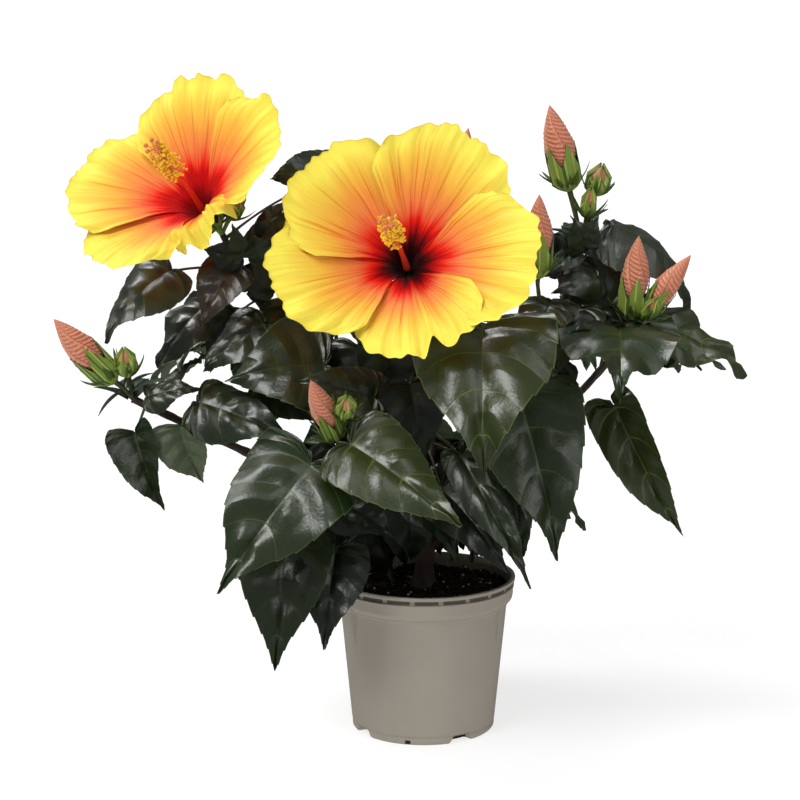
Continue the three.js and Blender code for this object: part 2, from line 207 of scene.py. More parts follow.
def stalk_heading(node, foot):
    """The direction that most of the long edges at a stalk's foot share."""
    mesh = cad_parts[node].data
    ends = np.empty(2 * len(mesh.edges), dtype=int)
    mesh.edges.foreach_get("vertices", ends)
    edges = mesh_corners(node)[ends.reshape(-1, 2)]
    away = np.linalg.norm(edges - foot, axis=2)
    edges = np.where((away[:, 0] > away[:, 1])[:, None, None], edges[:, ::-1], edges)
    run = edges[:, 1] - edges[:, 0]
    long = (away.min(axis=1) < LEAST_STALK) & (np.linalg.norm(run, axis=1) > LEAST_STALK)
    headings = unit(run[long])
    alike = headings @ headings.T > math.cos(math.radians(3.5))
    return unit(headings[alike[np.argmax(alike.sum(axis=1))]].mean(axis=0))


def last_ring(ahead):
    """Where the last ring of a stalk stands: the furthest place that several corners share."""
    crowd = np.array([(np.abs(ahead - place) < 2 * MM).sum() for place in ahead])
    ring = ahead[crowd >= LEAST_RING].max()
    return ahead[np.abs(ahead - ring) < 2 * MM].mean()


def stalk_of(node, points, half_width):
    """A stalk's foot and knee, and how far each corner is from its foot and beside it."""
    gaps = np.linalg.norm(points[:, None] - bough_points, axis=2).min(axis=1)
    far = np.linalg.norm(points - points[np.argmin(gaps)], axis=1)
    foot = points[far < 2 * STALK_REACH].mean(axis=0)
    heading = stalk_heading(node, foot)
    ahead, beside = along_and_beside(points - foot, heading)
    knee = foot + heading * last_ring(ahead[(beside < half_width) & (far > LEAST_STALK)])
    return foot, knee, far, beside


def nearest_bough_end(points):
    """The bough's end that a group of corners is closest to."""
    ends = np.array([line.at(line.last) for line in boughs.values()])
    gaps = np.linalg.norm(ends[:, None] - points, axis=2).min(axis=1)
    return ends[np.argmin(gaps)]


class Mass:
    """A mass of foliage: its stalk from foot to knee, and its blade from knee to tip."""

    def __init__(self, node):
        points = corners_of(node)
        self.foot, self.knee, far, beside = stalk_of(node, points, STALK_HALF)
        points = points[(far > 2 * LEAST_STALK) | (beside > STALK_HALF)]
        furthest = points[np.argmax(np.linalg.norm(points - self.knee, axis=1))]
        self.tip = cluster(points, furthest, STALK_REACH)
        chord = self.tip - self.knee
        self.length = np.linalg.norm(chord)
        self.chord = chord / self.length
        off = points - self.knee
        along = off @ self.chord
        off, along = off[along > 0.05 * self.length], along[along > 0.05 * self.length]
        flat = off - np.outer(along, self.chord)
        centred = flat - flat.mean(axis=0)
        _, vectors = np.linalg.eigh(centred.T @ centred)
        across = square_to(vectors[:, -1], self.chord)
        sideways = flat @ across
        self.width = sideways.max() - sideways.min()
        wide = np.abs(sideways) > 0.2 * self.width
        normal = np.cross(across, self.chord)
        bow = 1 - (2 * along[wide] / self.length - 1) ** 2
        height = flat[wide] @ normal
        rise = (bow @ height) / (bow @ bow)
        self.normal = normal if rise >= 0 else -normal
        self.across = np.cross(self.chord, self.normal)
        self.arch = 4 * math.atan(2 * abs(rise) / self.length)


class Head:
    """A bud on its stalk: from its foot to its tip, with its widest radius."""

    def __init__(self, foot, tip, radius):
        self.foot, self.tip, self.radius = foot, tip, radius
        self.reach = np.linalg.norm(tip - foot)
        self.axis = (tip - foot) / self.reach


WIDEST_SHARE = 0.42
LEAST_BUD_REACH = 25 * MM


def head_towards(points, foot, far):
    """The bud that runs from foot to its far corner."""
    tip = cluster(points, far, BUD_TIP_REACH)
    reach = np.linalg.norm(tip - foot)
    along, beside = along_and_beside(points - foot, unit(tip - foot))
    ring = np.abs(along / reach - WIDEST_SHARE) < 0.03
    radius = np.median(np.sort(beside[ring])[:6]) if ring.any() else 0.16 * reach
    return Head(foot, tip, radius), beside > 1.15 * radius


def heads_on_bough_end(node):
    """The buds that share one foot, on the end of a bough."""
    rest, heads = corners_of(node), []
    foot = nearest_bough_end(rest)
    while len(rest) and np.linalg.norm(rest - foot, axis=1).max() > LEAST_BUD_REACH:
        far = rest[np.argmax(np.linalg.norm(rest - foot, axis=1))]
        head, beyond = head_towards(rest, foot, far)
        heads.append(head)
        rest = rest[beyond]
    return heads


def head_on_stalk(node):
    """A bud on a stalk of its own, with the stalk's foot."""
    points = corners_of(node)
    foot, knee, far, _ = stalk_of(node, points, BUD_STALK_HALF)
    head, _ = head_towards(points, knee, points[np.argmax(far)])
    return foot, head


class Bloom:
    """An open bloom: its foot, the axis it opens along, its throat, rim and column."""

    def __init__(self, node):
        points = corners_of(node)
        self.foot = nearest_bough_end(points)
        off = points - self.foot
        self.axis = unit(off.mean(axis=0))
        along, beside = along_and_beside(off, self.axis)
        self.radius = beside.max()
        self.rim = along[beside > 0.9 * self.radius].mean()
        self.throat = along[(beside > 9 * MM) & (beside < 11 * MM)].mean()
        self.column = along.max()


# ---------------------------------------------------------------- mesh making


def add_object(name, data):
    thing = bpy.data.objects.new(name, data)
    bpy.context.scene.collection.objects.link(thing)
    return thing


class Batch:
    """Points and faces gathered from many small shapes, for one joined mesh."""

    def __init__(self):
        self.points, self.faces, self.marks, self.places = [], [], [], []
        self.count = 0

    def add(self, points, *faces, mark=0, places=None):
        """mark is the faces' material, as one number or one for each. places are the maps at each point."""
        self.points.append(points)
        for some in faces:
            self.faces.append(some + self.count)
        self.marks.append(np.broadcast_to(mark, sum(len(some) for some in faces)))
        self.places.append(np.zeros((len(points), 4)) if places is None else places)
        self.count += len(points)

    def add_turned(self, points, ends, mark=0):
        """A skin over closed rings of points, with a fan from its first and last ring to the ends."""
        rows, sides = points.shape[:2]
        joined = np.concatenate([points.reshape(-1, 3), ends])
        self.add(joined, grid_faces(rows, sides, closed=True), end_fans(rows, sides), mark=mark)

    def add_tube(self, path, radii, sides, mark=0):
        """A tube round a path. radii holds one radius for each ring, or one for each of its points."""
        _, across, up = frames_along(path)
        turn = np.arange(sides) * 2 * math.pi / sides
        ring = across[:, None] * np.cos(turn)[:, None] + up[:, None] * np.sin(turn)[:, None]
        wide = radii.reshape(len(path), -1, 1)
        self.add_turned(path[:, None] + ring * wide, path[[0, -1]], mark)

    def add_bow(self, start, end, lift, first, last, steps, sides, mark=0):
        """A bowed tube whose radius runs from first to last, in mm."""
        self.add_tube(bow(start, end, lift, steps), np.linspace(first, last, steps) * MM, sides, mark)

    def piece(self, name, slot, materials, nodes, maps=()):
        """One object of everything gathered, which stands for the CAD nodes."""
        mesh = bpy.data.meshes.new(name)
        points = np.concatenate(self.points)
        loops = np.concatenate([faces.ravel() for faces in self.faces])
        sizes = np.concatenate([np.full(len(faces), faces.shape[1]) for faces in self.faces])
        mesh.vertices.add(len(points))
        mesh.vertices.foreach_set("co", points.ravel())
        mesh.loops.add(len(loops))
        mesh.loops.foreach_set("vertex_index", loops.astype(np.int32))
        mesh.polygons.add(len(sizes))
        starts = np.concatenate([[0], np.cumsum(sizes)[:-1]])
        mesh.polygons.foreach_set("loop_start", starts.astype(np.int32))
        mesh.polygons.foreach_set("material_index", np.concatenate(self.marks).astype(np.int32))
        mesh.polygons.foreach_set("use_smooth", np.ones(len(sizes), dtype=bool))
        for i, map_name in enumerate(maps):
            layer = mesh.uv_layers.new(name=map_name)
            places = np.concatenate(self.places)[loops][:, 2 * i : 2 * i + 2]
            layer.data.foreach_set("uv", places.ravel())
        mesh.update(calc_edges=True)
        for material in materials:
            mesh.materials.append(material)
        piece = add_object(name, mesh)
        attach(piece, "root")
        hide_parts(*nodes)


def grid_faces(rows, columns, closed=False):
    """Quads over a grid of points, row by row. closed joins the last column to the first."""
    row, column = np.meshgrid(
        np.arange(rows - 1), np.arange(columns if closed else columns - 1), indexing="ij"
    )
    beside = (column + 1) % columns
    corners = [row * columns + column, row * columns + beside]
    corners += [(row + 1) * columns + beside, (row + 1) * columns + column]
    return np.stack(corners, -1).reshape(-1, 4)


def round_a_ring(count):
    """The numbers round a ring, and for each the one beside it."""
    here = np.arange(count)
    return here, (here + 1) % count


def end_fans(rows, sides):
    """Triangles from the first and last ring of a closed grid to the two points that follow it."""
    here, beside = round_a_ring(sides)
    last = (rows - 1) * sides
    foot = np.stack([beside, here, np.full(sides, rows * sides)], -1)
    tip = np.stack([last + here, last + beside, np.full(sides, rows * sides + 1)], -1)
    return np.concatenate([foot, tip])


def frames_along(path):
    """Headings along a path, with directions across and up that are carried on without a twist."""
    headings = unit(np.gradient(path, axis=0))
    across = np.empty_like(path)
    across[0] = any_side_of(headings[0])
    for i in range(1, len(path)):
        across[i] = square_to(across[i - 1], headings[i])
    return headings, across, np.cross(headings, across)


def bow(start, end, lift, steps):
    """A path from start to end that bows out by lift, a vector, at its middle."""
    share = np.linspace(0, 1, steps)[:, None]
    return mix(start, end, share) + np.asarray(lift) * 4 * share * (1 - share)


def ripple(points, scale, seed, waves=7):
    """Smooth noise of about -1 to 1 at points, with features of about scale."""
    random = np.random.default_rng(seed)
    total = np.zeros(points.shape[:-1])
    for _ in range(waves):
        direction = unit(random.normal(size=points.shape[-1])) * random.uniform(0.6, 1.6)
        total += np.sin(points @ direction * (2 * math.pi / scale) + random.uniform(0, 2 * math.pi))
    return total / math.sqrt(waves / 2)


# ---------------------------------------------------------------- materials


def new_material(name):
    material = bpy.data.materials.new(name)
    material.use_nodes = True
    return material, material.node_tree, material.node_tree.nodes["Principled BSDF"]


def link(tree, start, end):
    tree.links.new(start, end)


def set_inputs(node, values):
    for name, value in values.items():
        node.inputs[name].default_value = value


def noise(tree, scale, detail=4.0, vector=None, rough=0.55, distortion=0.0):
    node = tree.nodes.new("ShaderNodeTexNoise")
    set_inputs(node, {"Scale": scale, "Detail": detail, "Roughness": rough, "Distortion": distortion})
    if vector is None:
        vector = tree.nodes.new("ShaderNodeTexCoord").outputs["Object"]
    link(tree, vector, node.inputs["Vector"])
    return node.outputs["Fac"]


def stretched(tree, vector, scale):
    """Coordinates scaled by a factor for each axis."""
    node = tree.nodes.new("ShaderNodeMapping")
    node.inputs["Scale"].default_value = scale
    link(tree, vector, node.inputs["Vector"])
    return node.outputs["Vector"]


def to_range(tree, value, low, high, from_low=0.25, from_high=0.75):
    node = tree.nodes.new("ShaderNodeMapRange")
    set_inputs(node, {"From Min": from_low, "From Max": from_high, "To Min": low, "To Max": high})
    link(tree, value, node.inputs["Value"])
    return node.outputs["Result"]


def ramp(tree, value, stops):
    """A colour ramp through stops, as (place, colour)."""
    node = tree.nodes.new("ShaderNodeValToRGB")
    elements = node.color_ramp.elements
    while len(elements) < len(stops):
        elements.new(0.5)
    for element, (place, color) in zip(elements, stops):
        element.position = place
        element.color = (*color, 1.0)
    link(tree, value, node.inputs["Fac"])
    return node.outputs["Color"]


def calculate(tree, operation, a, b):
    node = tree.nodes.new("ShaderNodeMath")
    node.operation = operation
    for value, socket in ((a, node.inputs[0]), (b, node.inputs[1])):
        if isinstance(value, (int, float)):
            socket.default_value = value
        else:
            link(tree, value, socket)
    return node.outputs[0]


def bump(tree, shader, height, distance, strength=1.0):
    node = tree.nodes.new("ShaderNodeBump")
    set_inputs(node, {"Distance": distance, "Strength": strength})
    link(tree, height, node.inputs["Height"])
    link(tree, node.outputs["Normal"], shader.inputs["Normal"])


def plain(name, color, roughness, grain, relief, coat=0.0, sheen=0.0, specular=0.5):
    """One base colour, with roughness and fine relief from noise. grain is the noise's scale."""
    material, tree, shader = new_material(name)
    set_inputs(shader, {
        "Base Color": (*color, 1.0),
        "Coat Weight": coat,
        "Coat Roughness": 0.22,
        "Sheen Weight": sheen,
        "Specular IOR Level": specular,
    })
    link(tree, to_range(tree, noise(tree, grain * 0.3), *roughness), shader.inputs["Roughness"])
    bump(tree, shader, noise(tree, grain), relief)
    return material


# ---------------------------------------------------------------- pot

POT_SIDES = 240
POT_WALL = 1.8 * MM
POT_FLOOR = 3 * MM
UNDERSIDE = 0.4 * MM
ARCH_HEIGHT = 4.9 * MM
HOLE_TOP = 3.2 * MM
STEP_LINE = 5.5 * MM
BEAD = 0.9 * MM
GROOVE_DEPTH = 1.1 * MM
WEDGE_LENGTH, WEDGE_DEPTH = 22 * MM, 1.5 * MM
TAB_DEPTH = 0.75 * MM

# The bearings of the first arch, the first wedge, the first tab and the hole, and how far each
# reaches to either side, in degrees.
ARCH_BEARING, ARCH_HALF = 302, 10.5
WEDGE_BEARING, WEDGE_HALF = 213, 60.0
TAB_BEARING, TAB_HALF = 10, 1.3
HOLE_BEARING, HOLE_HALF = 257, 2.4
ARCHES, WEDGES, TABS = 4, 3, 20


def outer_rings(node, least=24):
    """Heights and outer radii of the rings of corners round a turned CAD node, from the bottom up."""
    points = corners_of(node)
    radius = np.hypot(points[:, 0], points[:, 1])
    rings = []
    for height in np.unique(np.round(points[:, 2], 5)):
        level = radius[np.abs(points[:, 2] - height) < 1e-5]
        widest = rings[-1][1] if rings else 0
        if (level > level.max() - 0.2 * MM).sum() >= least and level.max() > widest - 0.1 * MM:
            rings.append((height, level.max()))
    return np.array(rings)


def rounded(profile, reach=0.35 * MM):
    """A profile with its corners eased by a short arc of three points."""
    eased = [profile[0]]
    for before, corner, after in zip(profile, profile[1:], profile[2:]):
        back, on = before - corner, after - corner
        cut = min(reach, 0.45 * np.linalg.norm(back), 0.45 * np.linalg.norm(on))
        start, end = corner + unit(back) * cut, corner + unit(on) * cut
        eased += [start, 0.25 * start + 0.5 * corner + 0.25 * end, end]
    return np.array(eased + [profile[-1]])


def subdivided(profile, longest):
    """A profile with its long stretches cut into steps no longer than longest."""
    points = [profile[0]]
    for start, end in zip(profile, profile[1:]):
        steps = max(1, math.ceil(np.linalg.norm(end - start) / longest))
        points += [mix(start, end, (i + 1) / steps) for i in range(steps)]
    return np.array(points)


def near_bearing(bearings, centre, half_width):
    """1 at a bearing, falling to 0 at half_width to either side of it, in degrees."""
    gap = np.abs((bearings - centre + 180) % 360 - 180)
    return np.clip(1 - gap / half_width, 0, 1)


def spaced(bearings, first, count, half_width):
    """near_bearing for each of count places that are spaced evenly round, from the first on."""
    return [near_bearing(bearings, first + 360 / count * i, half_width) for i in range(count)]


POT_SKIN, POT_GROOVE_SHADE, POT_UNDERSIDE_AND_HOLE_SHADE = range(3)


def pot_profile(heights, radii):
    """The pot's section as radius and height, from the middle of its underside to that of its floor."""
    foot, top = heights[0], heights[-1]
    # The rings from the top down are the rim, the lip's foot, the groove's foot, the collar's
    # foot and the top of the body.
    lip_foot, groove_foot, collar_foot, body_top = heights[-2:-6:-1]
    groove_radius = radii[-3] - GROOVE_DEPTH
    radius_at = lambda height: np.interp(height, heights, radii)
    outside = [
        (radii[0] - 4.5 * MM, foot),
        (radii[0], foot),
        (radius_at(1 * MM), 1 * MM),
        (radius_at(HOLE_TOP), HOLE_TOP),
        (radius_at(STEP_LINE) - 0.7 * MM, STEP_LINE - 0.3 * MM),
        (radius_at(STEP_LINE), STEP_LINE + 0.2 * MM),
        (radius_at(body_top), body_top - 2.2 * MM),
        (radius_at(body_top) + BEAD, body_top - 1.2 * MM),
        (radius_at(body_top) + BEAD, body_top),
        (radius_at(collar_foot) - 0.5 * MM, collar_foot - 1.0 * MM),
        (radius_at(collar_foot), collar_foot + 0.5 * MM),
        (radii[-3], groove_foot - 1.1 * MM),
        (radii[-3] + 0.35 * MM, groove_foot - 0.9 * MM),
        (radii[-3] + 0.35 * MM, groove_foot),
        (groove_radius, groove_foot),
        (groove_radius, lip_foot),
        (radii[-1], lip_foot),
        (radii[-1], top),
        (radii[-1] - POT_WALL - 0.8 * MM, top),
        (groove_radius - POT_WALL, lip_foot - 1 * MM),
        (groove_radius - POT_WALL, collar_foot),
        (radius_at(body_top) - POT_WALL, body_top),
        (radii[0] - POT_WALL, POT_FLOOR),
        (0.5 * MM, POT_FLOOR),
    ]
    underside = [(0.5 * MM, UNDERSIDE), (radii[0] - 6.5 * MM, UNDERSIDE)]
    return subdivided(rounded(np.array(underside + outside)), 4 * MM)


def build_pot():
    heights, radii = outer_rings("pot").T
    lip_foot, groove_foot, _, body_top = heights[-2:-6:-1]
    groove_radius = radii[-3] - GROOVE_DEPTH
    profile = pot_profile(heights, radii)
    bearings = np.arange(POT_SIDES) * 360 / POT_SIDES
    radius, height = np.repeat(profile[:, None], POT_SIDES, axis=1).transpose(2, 0, 1)
    outer = radius > np.interp(height, heights, radii) - 1.2 * MM
    # Feet: the wall is cut away in low arches round the foot.
    arch = sum(smoothstep(near, 0.0, 0.3) for near in spaced(bearings, ARCH_BEARING, ARCHES, ARCH_HALF))
    floor_edge = radius > radii[0] - 5.5 * MM
    raised = ARCH_HEIGHT + 0.03 * height
    height = np.where(floor_edge & (height < ARCH_HEIGHT), mix(height, raised, arch), height)
    # Stacking recesses: shallow wedges under the collar, widest at the top.
    wedge_foot = body_top - WEDGE_LENGTH
    share = np.clip((height - wedge_foot) / (body_top - wedge_foot), 0, 1.4)
    on_body = (height < body_top + 0.5 * MM) & (share > 0)
    gap = WEDGE_HALF * (1 - np.max(spaced(bearings, WEDGE_BEARING, WEDGES, WEDGE_HALF), axis=0))
    inside = smoothstep(4.6 * np.clip(share, 0, 1) - gap, 0.0, 1.1)
    radius = radius - np.where(outer & on_body, WEDGE_DEPTH * inside, 0)
    # Tabs: small upright ribs stand in the groove under the lip.
    in_groove = outer & (height > groove_foot + 0.2 * MM) & (height < lip_foot - 0.1 * MM)
    tab = sum(near > 0 for near in spaced(bearings, TAB_BEARING, TABS, TAB_HALF))
    radius = radius + np.where(in_groove, TAB_DEPTH * tab, 0)
    angle = np.radians(bearings)
    points = np.stack([radius * np.cos(angle), radius * np.sin(angle), height], -1)
    wall, level = profile[:-1, 0], profile[:-1, 1]
    # The groove's wall between the tabs is painted darker: painted shade in the recess under the lip.
    is_groove = (np.abs(wall - groove_radius) < 0.2 * MM) & (level > groove_foot) & (level < lip_foot)
    # The underside ring that shows through the arches, and the wall where the drain hole is, are painted
    # very dark: painted shade under the pot and inside the hole.
    is_shaded_underside = (wall > radii[0] - 6.9 * MM) & (wall < radii[0] - 4.6 * MM) & (level < 1 * MM)
    is_hole_row = (wall > radii[0] - 1 * MM) & (level > 0.7 * MM) & (level < HOLE_TOP - 0.3 * MM)
    hole = near_bearing(bearings, HOLE_BEARING, HOLE_HALF) > 0
    marks = np.where(is_groove[:, None] & (tab < 1), POT_GROOVE_SHADE, POT_SKIN)
    marks = np.where(is_shaded_underside[:, None] | (is_hole_row[:, None] & hole), POT_UNDERSIDE_AND_HOLE_SHADE, marks)
    marks = np.concatenate([marks.ravel(), np.full(2 * POT_SIDES, POT_SKIN)])
    batch = Batch()
    batch.add_turned(points, np.array([[0, 0, UNDERSIDE], [0, 0, POT_FLOOR]]), marks)
    batch.piece("pot_shell", "pot", [
        pot_plastic(),
        # Painted shade for the groove under the lip.
        plain("pot_groove_painted_shade", (0.105, 0.084, 0.060), (0.6, 0.8), 700, 0.0002),
        # Painted shade for the underside behind the arches and for the drain hole.
        plain("pot_underside_and_hole_shade", (0.014, 0.011, 0.009), (0.7, 0.9), 700, 0.0002),
    ], ["pot"])


def pot_plastic():
    material, tree, shader = new_material("pot_plastic")
    cloud = noise(tree, 18, detail=5)
    color = ramp(tree, cloud, [(0.3, (0.325, 0.287, 0.236)), (0.7, (0.362, 0.323, 0.268))])
    link(tree, color, shader.inputs["Base Color"])
    link(tree, to_range(tree, noise(tree, 70), 0.36, 0.5), shader.inputs["Roughness"])
    bump(tree, shader, noise(tree, 900, detail=2), 0.00012, 0.5)
    shader.inputs["Specular IOR Level"].default_value = 0.5
    return material


# ---------------------------------------------------------------- soil

CRUMB_CORNERS = unit(np.array([
    [1, 0, 0.2], [-1, 0, 0.1], [0, 1, -0.2], [0, -1, 0.1], [0.1, 0, 1], [0, 0.2, -1],
], dtype=float))
CRUMB_FACES = np.array([
    [0, 2, 4], [2, 1, 4], [1, 3, 4], [3, 0, 4], [2, 0, 5], [1, 2, 5], [3, 1, 5], [0, 3, 5],
])


def add_crumbs(batch, centres, sizes, mark, random, stretch=1.0):
    """Small uneven crumbs, each turned its own way. stretch draws them out into fibres."""
    count = len(centres)
    turns = np.linalg.qr(random.normal(size=(count, 3, 3)))[0]
    shapes = CRUMB_CORNERS * random.uniform(0.6, 1.3, (count, 6, 1))
    shapes = shapes * np.array([stretch, 1.0, 0.8])
    points = np.einsum("nij,nkj->nki", turns, shapes) * sizes[:, None, None] + centres[:, None]
    faces = CRUMB_FACES + 6 * np.arange(count)[:, None, None]
    batch.add(points.reshape(-1, 3), faces.reshape(-1, 3), mark=mark)


SOIL_DROP = 1.2 * MM
HEAP_REACH = 26 * MM


def soil_relief(spots):
    """The slow waves of the soil's top and the heap at its middle, in metres."""
    waves = 0.9 * ripple(spots, HEAP_REACH, 5) + 0.45 * ripple(spots, 8 * MM, 6)
    heap = 1.6 * np.exp(-(np.sum(spots**2, axis=-1) / HEAP_REACH**2))
    return (waves + heap) * MM


def build_soil():
    random = dice("soil")
    _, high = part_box("soil")
    radius, level = high[0], high[2]
    rings, sides = 44, 150
    reach = np.linspace(0.02, 1, rings) * (radius + 0.3 * MM)
    angle = np.arange(sides) * 2 * math.pi / sides
    flat = np.stack([reach[:, None] * np.cos(angle), reach[:, None] * np.sin(angle)], -1)
    top = level - SOIL_DROP + soil_relief(flat) + 0.3 * MM * ripple(flat, 3 * MM, 7)
    skirt = np.column_stack([0.93 * flat[-1], np.full(sides, level - 7 * MM)])
    inner = np.array([[0, 0, level + 0.2 * MM]])
    points = np.concatenate([np.dstack([flat, top]).reshape(-1, 3), skirt, inner])
    batch = Batch()
    here, beside = round_a_ring(sides)
    cap = np.stack([here, beside, np.full(sides, len(points) - 1)], -1)
    batch.add(points, grid_faces(rings + 1, sides, closed=True), cap)

    def scatter(count, proud):
        spread = np.sqrt(random.uniform(0.01, 0.97, count)) * radius
        turn = random.uniform(0, 2 * math.pi, count)
        spots = np.stack([spread * np.cos(turn), spread * np.sin(turn)], -1)
        return np.column_stack([spots, level - SOIL_DROP + soil_relief(spots) + proud * MM])

    kinds = [
        # mark, how many, least size, greatest size, stretch
        (1, 4200, 0.5, 1.5, 1.0),
        (2, 900, 0.4, 1.2, 1.4),
        (3, 130, 0.5, 1.0, 1.2),
        (1, 900, 0.25, 0.45, 7.0),
        (2, 500, 0.2, 0.4, 8.0),
        (4, 150, 0.8, 1.8, 1.0),
    ]
    for mark, count, least, most, stretch in kinds:
        sizes = random.uniform(least, most, count) * MM
        add_crumbs(batch, scatter(count, random.uniform(0.1, 1.0, count)), sizes, mark, random, stretch)
    materials = [
        plain("soil_bed", (0.012, 0.007, 0.005), (0.9, 1.0), 400, 0.0006, specular=0.2),
        plain("soil_dark", (0.012, 0.008, 0.006), (0.8, 1.0), 900, 0.0004, specular=0.2),
        plain("soil_brown", (0.040, 0.021, 0.013), (0.8, 1.0), 900, 0.0004, specular=0.2),
        plain("soil_rust", (0.17, 0.062, 0.022), (0.8, 1.0), 900, 0.0004, specular=0.2),
        plain("soil_perlite", (0.42, 0.38, 0.33), (0.7, 0.9), 900, 0.0004, specular=0.3),
    ]
    batch.piece("potting_soil", "soil", materials, ["soil"])


# ---------------------------------------------------------------- trunk and boughs


LEAST_TRUNK_RING = 6


def build_bark():
    """One mesh of the trunk and every bough, with ridges, leaf scars and bumps in relief."""
    batch = Batch()
    points = corners_of("trunk")
    levels, middles, wide = [], [], []
    for height in np.unique(np.round(points[:, 2], 5)):
        ring = points[np.abs(points[:, 2] - height) < 1e-4, :2]
        if len(ring) >= LEAST_TRUNK_RING:
            levels.append(height)
            middles.append(ring.mean(axis=0))
            wide.append(np.linalg.norm(ring - middles[-1], axis=1).max())
    z = np.linspace(levels[0] - 3 * MM, levels[-1] + 1.5 * MM, 70)
    path = np.column_stack([*(np.interp(z, levels, places) for places in np.array(middles).T), z])
    batch.add_tube(path, bark_relief(path, np.interp(z, levels, wide), 36, 3), 36)
    for seed, line in enumerate(boughs.values()):
        share = np.linspace(line.first, line.last, 90)
        path = line.at(share)
        radii = line.radius(share) * 1.02
        radii = radii * (1 + 0.5 * np.exp(-(((share - line.first) / 0.035) ** 2)))
        scars = np.abs(np.sin(share * math.pi * 7.5 + seed))
        radii = radii * (1 + 0.16 * np.clip(scars - 0.86, 0, 1) / 0.14)
        batch.add_tube(path, bark_relief(path, radii, 14, 11 + seed), 14)
    batch.piece("bark", "bark", [bark()], ["trunk", *boughs])


def bark_relief(path, radii, sides, seed):
    """Radii round and along a limb, with long ridges and small lenticels."""
    turn = np.arange(sides) * 2 * math.pi / sides
    along = np.concatenate([[0], np.cumsum(np.linalg.norm(np.diff(path, axis=0), axis=1))])
    around = np.stack([np.cos(turn), np.sin(turn)], -1)
    place = np.concatenate([
        np.repeat(along[:, None, None] / (14 * MM), sides, axis=1),
        np.repeat(around[None], len(path), axis=0),
    ], axis=-1)
    ridges = ripple(place * np.array([1.0, 1.5, 1.5]), 1.0, seed)
    spots = np.clip(ripple(place * np.array([5.0, 2.5, 2.5]), 1.0, seed + 50) - 1.1, 0, 1)
    return radii[:, None] * (1 + 0.045 * ridges + 0.09 * spots)


def bark():
    material, tree, shader = new_material("bark_skin")
    cloud = noise(tree, 60, detail=6, rough=0.65)
    stops = [(0.28, (0.018, 0.010, 0.008)), (0.55, (0.052, 0.030, 0.022)), (0.75, (0.11, 0.072, 0.05))]
    link(tree, ramp(tree, cloud, stops), shader.inputs["Base Color"])
    link(tree, to_range(tree, noise(tree, 120), 0.5, 0.8), shader.inputs["Roughness"])
    bump(tree, shader, noise(tree, 500, detail=5), 0.0004, 0.8)
    return material


# ---------------------------------------------------------------- leaves

# A leaf's outline runs from its base at 0 round its side to its tip at 1.
FIRST_TOOTH, LAST_TOOTH = 0.14, 0.955
FAN_END = 0.42  # rows that end before this start at the knee, like the main veins
FAN_REACH = 0.02
UPPER, VEIN, LOWER, RIM_AND_HIGHLIGHT = range(4)


# Half a leaf's outline from the knee round to the tip, as shares of its width and its length.
OUTLINE_ACROSS = [0, 0.30, 0.58, 0.80, 0.94, 1.0, 0.985, 0.91, 0.775, 0.59, 0.385, 0.205, 0.085, 0.0]
OUTLINE_ALONG = [0, -0.5, -1.0, -0.75, 0.0, 0.10, 0.215, 0.335, 0.455, 0.575, 0.69, 0.80, 0.90, 1.0]


def outline(turn, lobes):
    """Half a leaf's outline: its distance across, and along from the knee, both as shares."""
    knots = np.linspace(0, 1, len(OUTLINE_ACROSS))
    fine = np.linspace(0, 1, 241)
    kernel = np.hanning(23)
    kernel = kernel / kernel.sum()

    def eased(values):
        line = np.interp(fine, knots, values)
        padded = np.pad(line, 11, mode="reflect", reflect_type="odd")
        return np.convolve(padded, kernel, mode="valid")

    along = np.where(np.array(OUTLINE_ALONG) < 0, np.array(OUTLINE_ALONG) * lobes, OUTLINE_ALONG)
    return np.interp(turn, fine, eased(OUTLINE_ACROSS)), np.interp(turn, fine, eased(along))


def leaf_rows(teeth):
    """Where each row of a leaf ends on its outline, and which rows are the two sides of a vein."""
    step = (LAST_TOOTH - FIRST_TOOTH) / teeth
    starts = FIRST_TOOTH + step * np.arange(teeth)
    turns = [0.004, 0.03, 0.07, 0.1]
    veins = [0, 0, 0, 0]
    rise = [0.0, 0.0, 0.0, 0.0]
    for i, start in enumerate(starts):
        is_vein = i % 2 == 1
        turns += [start, start + 0.45 * step, start + 0.9 * step, start + 0.9 * step]
        veins += [0, 0, 1 if is_vein else 0, -1 if is_vein else 0]
        rise += [0.0, 0.45, 1.0, 1.0]
        if not is_vein:
            turns[-1] += 0.06 * step
    turns += [LAST_TOOTH, 0.985, 0.999]
    veins += [0, 0, 0]
    rise += [0.0, 0.0, 0.0]
    return np.array(turns), np.array(veins), np.array(rise)


FINE_COLUMNS = np.array([0, 0.1, 0.24, 0.4, 0.56, 0.72, 0.87, 0.982, 1.0])
PLAIN_COLUMNS = np.array([0, 0.22, 0.5, 0.78, 0.975, 1.0])


class Blade:
    """Where a leaf lies: from its knee along its chord, facing its normal, arched over."""

    def __init__(self, knee, chord, normal, length, width, arch):
        self.knee, self.chord, self.length, self.width = knee, chord, length, width
        self.normal = square_to(normal, chord)
        self.across = np.cross(chord, self.normal)
        self.arch = max(arch, 0.04)

    def place(self, x, y, z, twist=0.0):
        """Points at x across, y along and z out of a leaf, in metres, on the arched blade."""
        share = y / self.length
        half = self.arch / 2
        turn = half * (1 - 2 * share)
        radius = self.length / (2 * math.sin(half))
        along = self.length / 2 - radius * np.sin(turn)
        lift = radius * (np.cos(turn) - math.cos(half))
        roll = twist * share
        x, z = x * np.cos(roll) - z * np.sin(roll), x * np.sin(roll) + z * np.cos(roll)
        ahead = along - z * np.sin(turn)
        out = lift + z * np.cos(turn)
        parts = ((x, self.across), (ahead, self.chord), (out, self.normal))
        return self.knee + sum(amount[..., None] * direction for amount, direction in parts)


